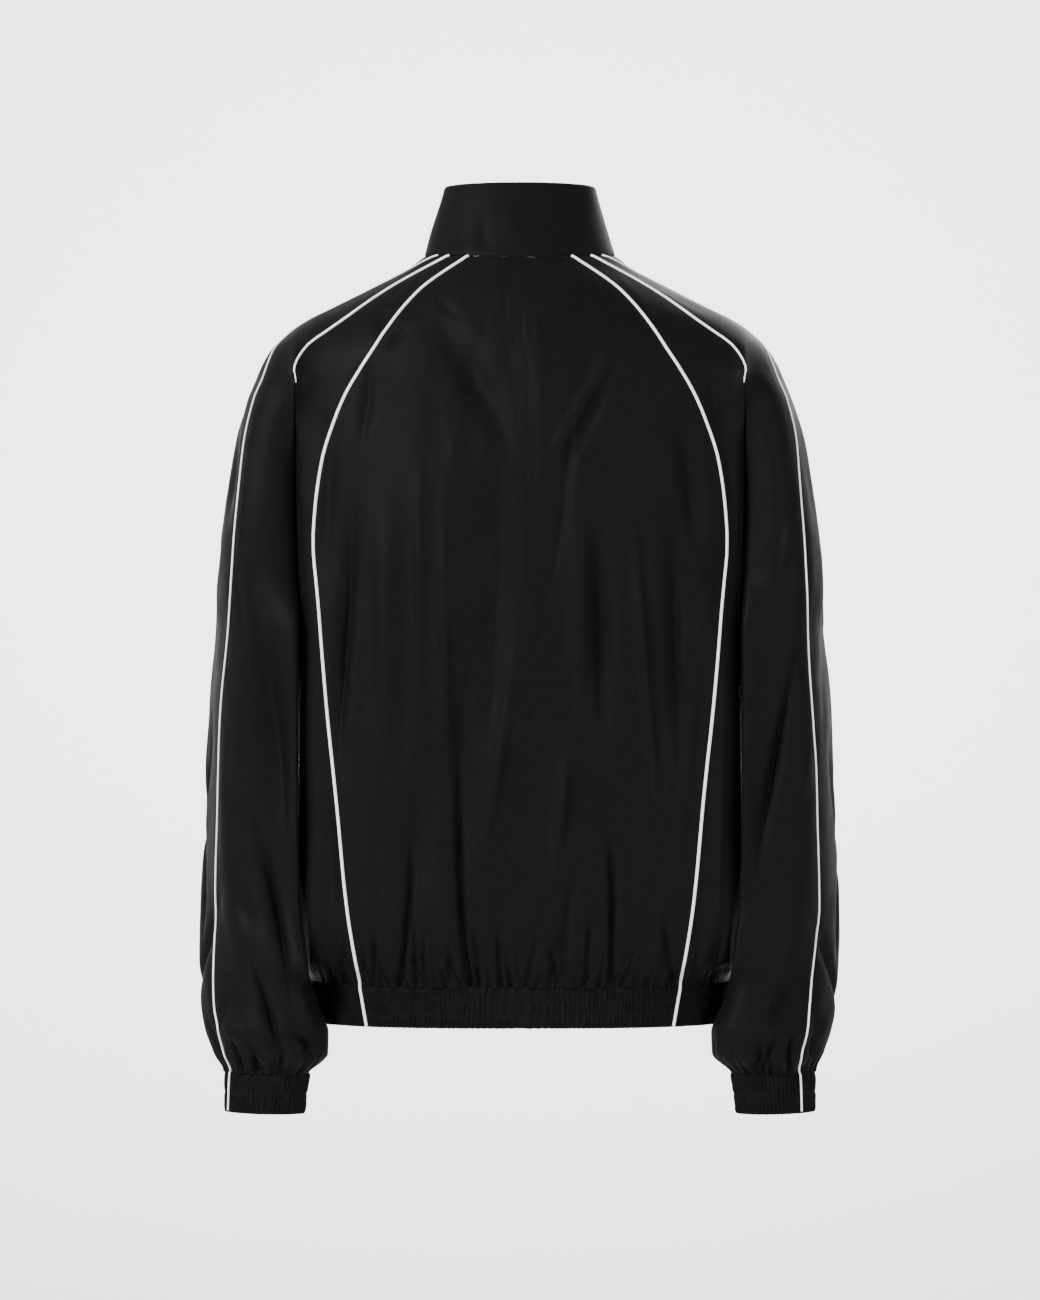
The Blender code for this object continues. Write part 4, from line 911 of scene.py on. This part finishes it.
def buildBand(name, node, shape, side, top, low, stitchRows, closed, seed):
    # gives back the lines that its elastic is stitched along
    tall = low - top
    count = round(tall / band["rowSpacing"])
    stitched = [top + row * tall for row in stitchRows]
    edges = (top + band["edgeRows"][0], low - band["edgeRows"][1])
    drops = np.concatenate((np.linspace(top, low, count + 1), edges, stitched))
    drops = np.unique(drops.round(3))[:, None]
    length = runLengths(shape(np.array([[(top + low) / 2]]), np.linspace(0, 1, 400)[None, :]), 1)[0, -1]
    columns = round(length / band["pitch"]) * band["columnsPerPucker"]
    fractions = evenFractions(shape, (top + low) / 2, columns)
    points = shape(drops, fractions)
    if closed:
        points, fractions = points[:, :-1], fractions[:, :-1]
    facing = gridNormals(points, side, closed)
    pinch = np.ones_like(drops)
    share, width = band["pinch"]
    for row in stitched:
        pinch = pinch * (1 - share * bell(drops - row, width))
    fromEdge = np.minimum(drops - top, low - drops)
    dip, width = band["edgeDip"]
    height = -band["groove"] * (1 - pinch) - dip * bell(fromEdge, width)
    wavy = band["wave"] * smoothNoise(fractions * length, drops, band["waveCell"], seed)
    points = points + facing * (height + wavy + band["height"])[..., None]
    share, width = band["edgePinch"]
    pinch = pinch * (1 - share * bell(fromEdge, width))
    across = np.broadcast_to(fractions * length, points.shape[:2])
    made = gridObject(name, points, side, bandFabric, closed, {
        "across": across, "down": np.broadcast_to(drops, across.shape), "pinch": pinch + 0 * across})
    made = runTree(made, shirring, {"Pitch": band["pitch"], "Height": band["height"] * mm,
                   "Wander": band["wander"], "Seed": seed, "Material": bandFabric})
    thicken(made, band["thickness"])
    declare(made, node)
    if closed:
        points, facing = wrap(points), wrap(facing)
    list(cutOf(points))
    rows = [np.abs(drops[:, 0] - drop).argmin() for drop in stitched]
    return [(points[row] + facing[row] * stitch["proud"], facing[row]) for row in rows]


# Sewing thread, laid in short proud stitches along the lines that hold the elastic and flatten the edges.
# They lie this many columns in from a front edge, and this many rows below the neck.
stitch = {"pitch": 3.0, "size": (2.3, 0.65, 0.5), "proud": 0.1, "columnsIn": 6, "neckRow": 3}


def rowTree(name, shape, smooth, **settings):
    # sets blocks at an even pitch along lines, each turned along its line and facing its outward side
    tree, given, out = newTree(name, {"Pitch": "NodeSocketFloat", "Size": "NodeSocketVector",
                                      "Material": "NodeSocketMaterial"})
    line = addNode(tree, "GeometryNodeMeshToCurve", {"Mesh": given.outputs["Geometry"]})
    even = addNode(tree, "GeometryNodeResampleCurve", {"Curve": line.outputs[0],
                   "Length": given.outputs["Pitch"]}, mode="LENGTH")
    along = addNode(tree, "GeometryNodeInputTangent")
    outward = namedValue(tree, "outward", "FLOAT_VECTOR")
    turn = addNode(tree, "FunctionNodeAxesToRotation", {0: along.outputs[0], 1: outward},
                   primary_axis="X", secondary_axis="Z")
    block = addNode(tree, shape, settings)
    shaded = addNode(tree, "GeometryNodeSetShadeSmooth", {0: block.outputs[0], "Shade Smooth": smooth})
    placed = addNode(tree, "GeometryNodeInstanceOnPoints", {
        "Points": even.outputs[0], "Instance": shaded.outputs[0], "Rotation": turn.outputs[0],
        "Scale": given.outputs["Size"]})
    return finishTree(tree, placed.outputs[0], given, out)


def rowOfBlocks(name, tree, lines, pitch, size, finish):
    starts = np.cumsum([0] + [len(line) for line, _ in lines])
    edges = [(start + i, start + i + 1) for start, (line, _) in zip(starts, lines)
             for i in range(len(line) - 1)]
    mesh = meshOf(name, np.concatenate([line for line, _ in lines]), edges, [])
    outs = np.concatenate([outs for _, outs in lines]).astype(np.float32)
    mesh.attributes.new("outward", "FLOAT_VECTOR", "POINT").data.foreach_set("vector", outs.ravel())
    made = runTree(addObject(name, mesh), tree, {"Pitch": pitch * mm, "Size": [part * mm for part in size],
                   "Material": finish})
    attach(made, "garment")
    return made


stitching = rowTree("stitching", "GeometryNodeMeshIcoSphere", True, Radius=0.5, Subdivisions=1)


def sew(name, lines):
    rowOfBlocks("stitches_" + name, stitching, lines, stitch["pitch"], stitch["size"], thread)


sew("hem_band", buildBand("band_hem", "hem_band", hemBandShape, 1, levels["hemSeam"] + 0.3, levels["hem"],
                          band["hemStitchRows"], False, 41))
for side, suffix in sides:
    sew("cuff" + suffix, buildBand("band_cuff" + suffix, "cuff" + suffix, cuffShape(side), side,
                                   levels["cuffSeam"] + 0.3, levels["cuff"], band["cuffStitchRows"], True,
                                   43 + side))
print("bands")


# Piping: a thin cord in a folded satin strip, sewn into a seam.
piping = {
    "halfWidth": 1.4, "height": 1.6, "flat": 0.75, "sink": 0.7, "sideCount": 10, "firstTurn": 18,
    "step": 2, "rise": 0.6, "beside": 0.004, "bandLift": 0.5, "ridgeScale": 0.72,
    "raglanTaper": 12, "raglanEnd": 0.5,
    # the last drop of each line on the panels, and its drops on the band below them
    "last": {"princess": 655, "ridge": 734, "raglan": 117},
    "bandDrops": {"princess": (658.5, 694, 2.5), "ridge": (737.5, 772, 2.5)},
}


def tube(name, centres, outs, halfWidths, heights, finish):
    # a bar with an oval section that stands on its line, with closed ends
    run = np.gradient(centres, axis=0)
    run /= np.linalg.norm(run, axis=1)[:, None]
    outs = outs - run * (outs * run).sum(1)[:, None]
    outs /= np.linalg.norm(outs, axis=1)[:, None]
    across, count = np.cross(run, outs), piping["sideCount"]
    turns = np.radians(np.arange(count) * 360 / count + piping["firstTurn"])[None, :, None]
    rings = (centres[:, None] + across[:, None] * np.cos(turns) * halfWidths[:, None, None]
             + outs[:, None] * np.sin(turns) * heights[:, None, None])
    number = numbered(rings.shape)
    faces = [number[0, ::-1].tolist(), number[-1].tolist()] + quadsOf(wrap(number)).tolist()
    mesh = meshOf(name, rings, [], faces, finish)
    shaper = bmesh.new()
    shaper.from_mesh(mesh)
    bmesh.ops.recalc_face_normals(shaper, faces=shaper.faces)
    shaper.to_mesh(mesh)
    shaper.free()
    return addObject(name, mesh)


def seamLine(before, after, drops, lastDrop, side):
    rows = [k for k, drop in enumerate(drops) if drop <= lastDrop][:: piping["step"]]
    before, after = before[: rows[-1] + 2], after[: rows[-1] + 2]
    seam = (before[:, -1] + after[:, 0]) / 2
    left, right = before[:, -4], after[:, 3]
    out = np.cross(right - left, np.gradient(seam, axis=0)) * side
    out /= np.linalg.norm(out, axis=1)[:, None]
    rise = (left + right) / 2 - seam
    centres = seam + (rise * out).sum(1)[:, None] * out * piping["rise"]
    return centres[rows], out[rows]


def bandLine(shape, side, drops, fractionAt):
    drops = np.arange(*drops)[:, None]
    points = shape(drops, fractionAt(drops) + np.array([[-piping["beside"], 0, piping["beside"]]]))
    return points[:, 1], gridNormals(points, side)[:, 1]


def buildPiping():
    bodyDrops, sleeveDrops = panelDrops("body")[0][:, 0], panelDrops("sleeve")[0][:, 0]
    for side, suffix in sides:
        def princessFraction(drop):
            return (bodyAngle("princess", drop, side) * side / bodyAngle("centreFront", drop, side) + 1) / 2

        def ridgeFraction(drop):
            return (sleeveAngle("ridge", drop, side) - sleeveAngle("armholeBack", drop, side)) / 360

        centre = panelGrids["back_centre"][:, ::side]
        bodySide, sleeve = panelGrids["back_side" + suffix], panelGrids["sleeve_back" + suffix]
        lines = {
            "princess": (centre, bodySide, bodyDrops, (hemBandShape, 1), princessFraction),
            "ridge": (sleeve, panelGrids["sleeve_front" + suffix], sleeveDrops, (cuffShape(side), side),
                      ridgeFraction),
            "raglan": (bodySide, sleeve, bodyDrops, None, None),
        }
        for name, (before, after, drops, bandShape, fractionAt) in lines.items():
            centres, outs = seamLine(before, after, drops, piping["last"][name], side)
            if bandShape:
                more, moreOuts = bandLine(*bandShape, piping["bandDrops"][name], fractionAt)
                more = more + moreOuts * (piping["bandLift"] + band["height"])
                centres, outs = np.concatenate((centres, more)), np.concatenate((outs, moreOuts))
            size = np.full(len(centres), piping["ridgeScale"] if name == "ridge" else 1.0)
            if name == "raglan":
                count = len(centres)
                taper = (count - piping["raglanTaper"], count - 1)
                size = np.interp(np.arange(count), taper, (1, piping["raglanEnd"]))
            centres = centres + outs * (piping["height"] - piping["sink"]) * 0.5
            made = tube("piping_cord_" + name + suffix, centres, outs, piping["halfWidth"] * size,
                        piping["height"] * size * piping["flat"], pipingSatin)
            declare(made, "piping_" + name + suffix)


buildPiping()
print("piping")


def buildTopstitching():
    # along both front edges, and just under the neck seam across the back
    for side, suffix in sides:
        grid = panelGrids["front" + suffix][4:-4]
        outs = gridNormals(grid, side)[:, -stitch["columnsIn"]]
        sew("front" + suffix, [(grid[:, -stitch["columnsIn"]] + outs * stitch["proud"], outs)])
    grid, row = panelGrids["back_centre"][:7], stitch["neckRow"]
    outs = gridNormals(grid, 1)[row, 2:-2]
    sew("neck", [(grid[row, 2:-2] + outs * stitch["proud"], outs)])


buildTopstitching()

# The zip's teeth: two rows of moulded blocks that mesh, on the bar that stands for them in the part.
teeth = {"pitch": 2.8, "size": (1.35, 3.3, 2.2), "fromMiddle": 0.8, "facets": 10, "step": 1.0,
         "starts": ((1, 0.25), (-1, 0.75))}  # where each side's row starts, as a share of the pitch


def buildTeeth():
    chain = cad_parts["zip_chain"]
    corners = np.array([chain.matrix_world @ vertex.co for vertex in chain.data.vertices]) / mm
    corners = np.unique(corners.round(2), axis=0)
    corners = corners[np.argsort(corners[:, 2])]
    line = corners.reshape(-1, 4, 3).mean(axis=1) * (0, 1, 1)
    lengths = runLengths(line[None], 1)[0]
    lines = []
    for side, shift in teeth["starts"]:
        at = np.arange(teeth["pitch"] * shift, lengths[-1] - 1, teeth["step"])
        row = np.stack([np.interp(at, lengths, line[:, k]) for k in range(3)], axis=1)
        up = np.gradient(row, axis=0)
        up /= np.linalg.norm(up, axis=1)[:, None]
        outs = np.stack((0 * at, -up[:, 2], up[:, 1]), axis=1)
        lines.append((row + (side * teeth["fromMiddle"], 0, 0), outs))
    moulded = rowTree("moulded", "GeometryNodeMeshCylinder", False, Vertices=teeth["facets"], Radius=0.5,
                      Depth=1.0)
    made = rowOfBlocks("zip_teeth", moulded, lines, teeth["pitch"], teeth["size"], teethPlastic)
    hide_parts("zip_chain")


buildTeeth()
print("sewing and zip")

for name in ("zip_tape_left", "zip_tape_right", "zip_box", "zip_slider", "zip_pull"):
    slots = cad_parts[name].data.materials
    slots.clear()
    slots.append(zipTapeWeave if "tape" in name else metal)


# The studio: a pale round bowl for a floor and backdrop, lit softly from above and from both sides.
studio = {"floor": -1.65, "flatRadius": 4.6, "wallRadius": 7.5, "wallTop": 5.5, "colour": "ebebee",
          "worldColour": "f2f2f5", "worldStrength": 0.85, "bendSteps": 12, "turnSteps": 64}


def buildStudio():
    shaper = bmesh.new()
    bendRadius = studio["wallRadius"] - studio["flatRadius"]
    profile = [(0.02, studio["floor"]), (2.0, studio["floor"])]
    for step in range(studio["bendSteps"] + 1):
        turn = math.radians(90 * step / studio["bendSteps"])
        profile.append((studio["flatRadius"] + bendRadius * math.sin(turn),
                        studio["floor"] + bendRadius * (1 - math.cos(turn))))
    profile.append((studio["wallRadius"], studio["wallTop"]))
    points = [shaper.verts.new((radius, 0, height)) for radius, height in profile]
    edges = [shaper.edges.new(pair) for pair in zip(points, points[1:])]
    bmesh.ops.spin(shaper, geom=points + edges, cent=(0, 0, 0), axis=(0, 0, 1), angle=-math.pi,
                   steps=studio["turnSteps"])
    bmesh.ops.remove_doubles(shaper, verts=shaper.verts, dist=0.001)
    ahead = studio["flatRadius"] * 2
    for low, high in ((-studio["wallRadius"], 0), (0, studio["wallRadius"])):
        corners = [(low, 0), (high, 0), (high, ahead), (low, ahead)]
        shaper.faces.new([shaper.verts.new((x, y, studio["floor"])) for x, y in corners])
    bmesh.ops.recalc_face_normals(shaper, faces=shaper.faces)
    mesh = bpy.data.meshes.new("studio_bowl")
    shaper.to_mesh(mesh)
    shaper.free()
    mesh.shade_smooth()
    paint, tree, shader = newMaterial("studioPaint", {"Roughness": 0.9, "Specular IOR Level": 0.2,
                                                      "Base Color": hexColour(studio["colour"])})
    mesh.materials.append(paint)
    addObject("studio_bowl", mesh)
    world = bpy.data.worlds.new("studioWorld")
    world.use_nodes = True
    back = world.node_tree.nodes["Background"]
    back.inputs[0].default_value = hexColour(studio["worldColour"])
    back.inputs[1].default_value = studio["worldStrength"]
    bpy.context.scene.world = world


lamps = {
    "key": {"at": (3.0, 2.8, 1.9), "toward": (0, 0, -0.3), "size": 1.2, "power": 290, "spread": 180},
    "fill": {"at": (-2.6, 3.4, 0.2), "toward": (0, 0, -0.4), "size": 2.0, "power": 90, "spread": 180},
    "front": {"at": (-1.6, -3.4, 1.6), "toward": (0, 0, -0.3), "size": 2.4, "power": 120, "spread": 180},
}
for name, side in (("wallLeft", 1), ("wallRight", -1)):
    lamps[name] = {"at": (side * 1.6, -3.4, 2.6), "toward": (side * 0.5, -7.4, -0.4), "size": 1.6,
                   "power": 170, "spread": 110}


def buildLamps():
    for name, lamp in lamps.items():
        data = bpy.data.lights.new(name, "AREA")
        data.shape, data.size, data.energy = "DISK", lamp["size"], lamp["power"]
        data.spread = math.radians(lamp["spread"])
        made = addObject(name, data)
        made.location = lamp["at"]
        made.rotation_euler = (Vector(lamp["toward"]) - made.location).to_track_quat("-Z", "Y").to_euler()


view = {"distance": 4.0, "height": -0.3557, "millimetresPerPixel": 0.92, "pictureHeight": 1300,
        "sensor": 36.0}


def buildCamera():
    data = bpy.data.cameras.new("camera")
    seen = view["millimetresPerPixel"] * view["pictureHeight"] * mm
    data.sensor_fit, data.sensor_width = "AUTO", view["sensor"]
    data.lens = view["sensor"] * view["distance"] / seen
    made = addObject("camera", data)
    made.location = (0, view["distance"], view["height"])
    made.rotation_euler = (math.radians(90), 0, math.radians(180))
    bpy.context.scene.camera = made


buildStudio()
buildLamps()
buildCamera()
print("studio")
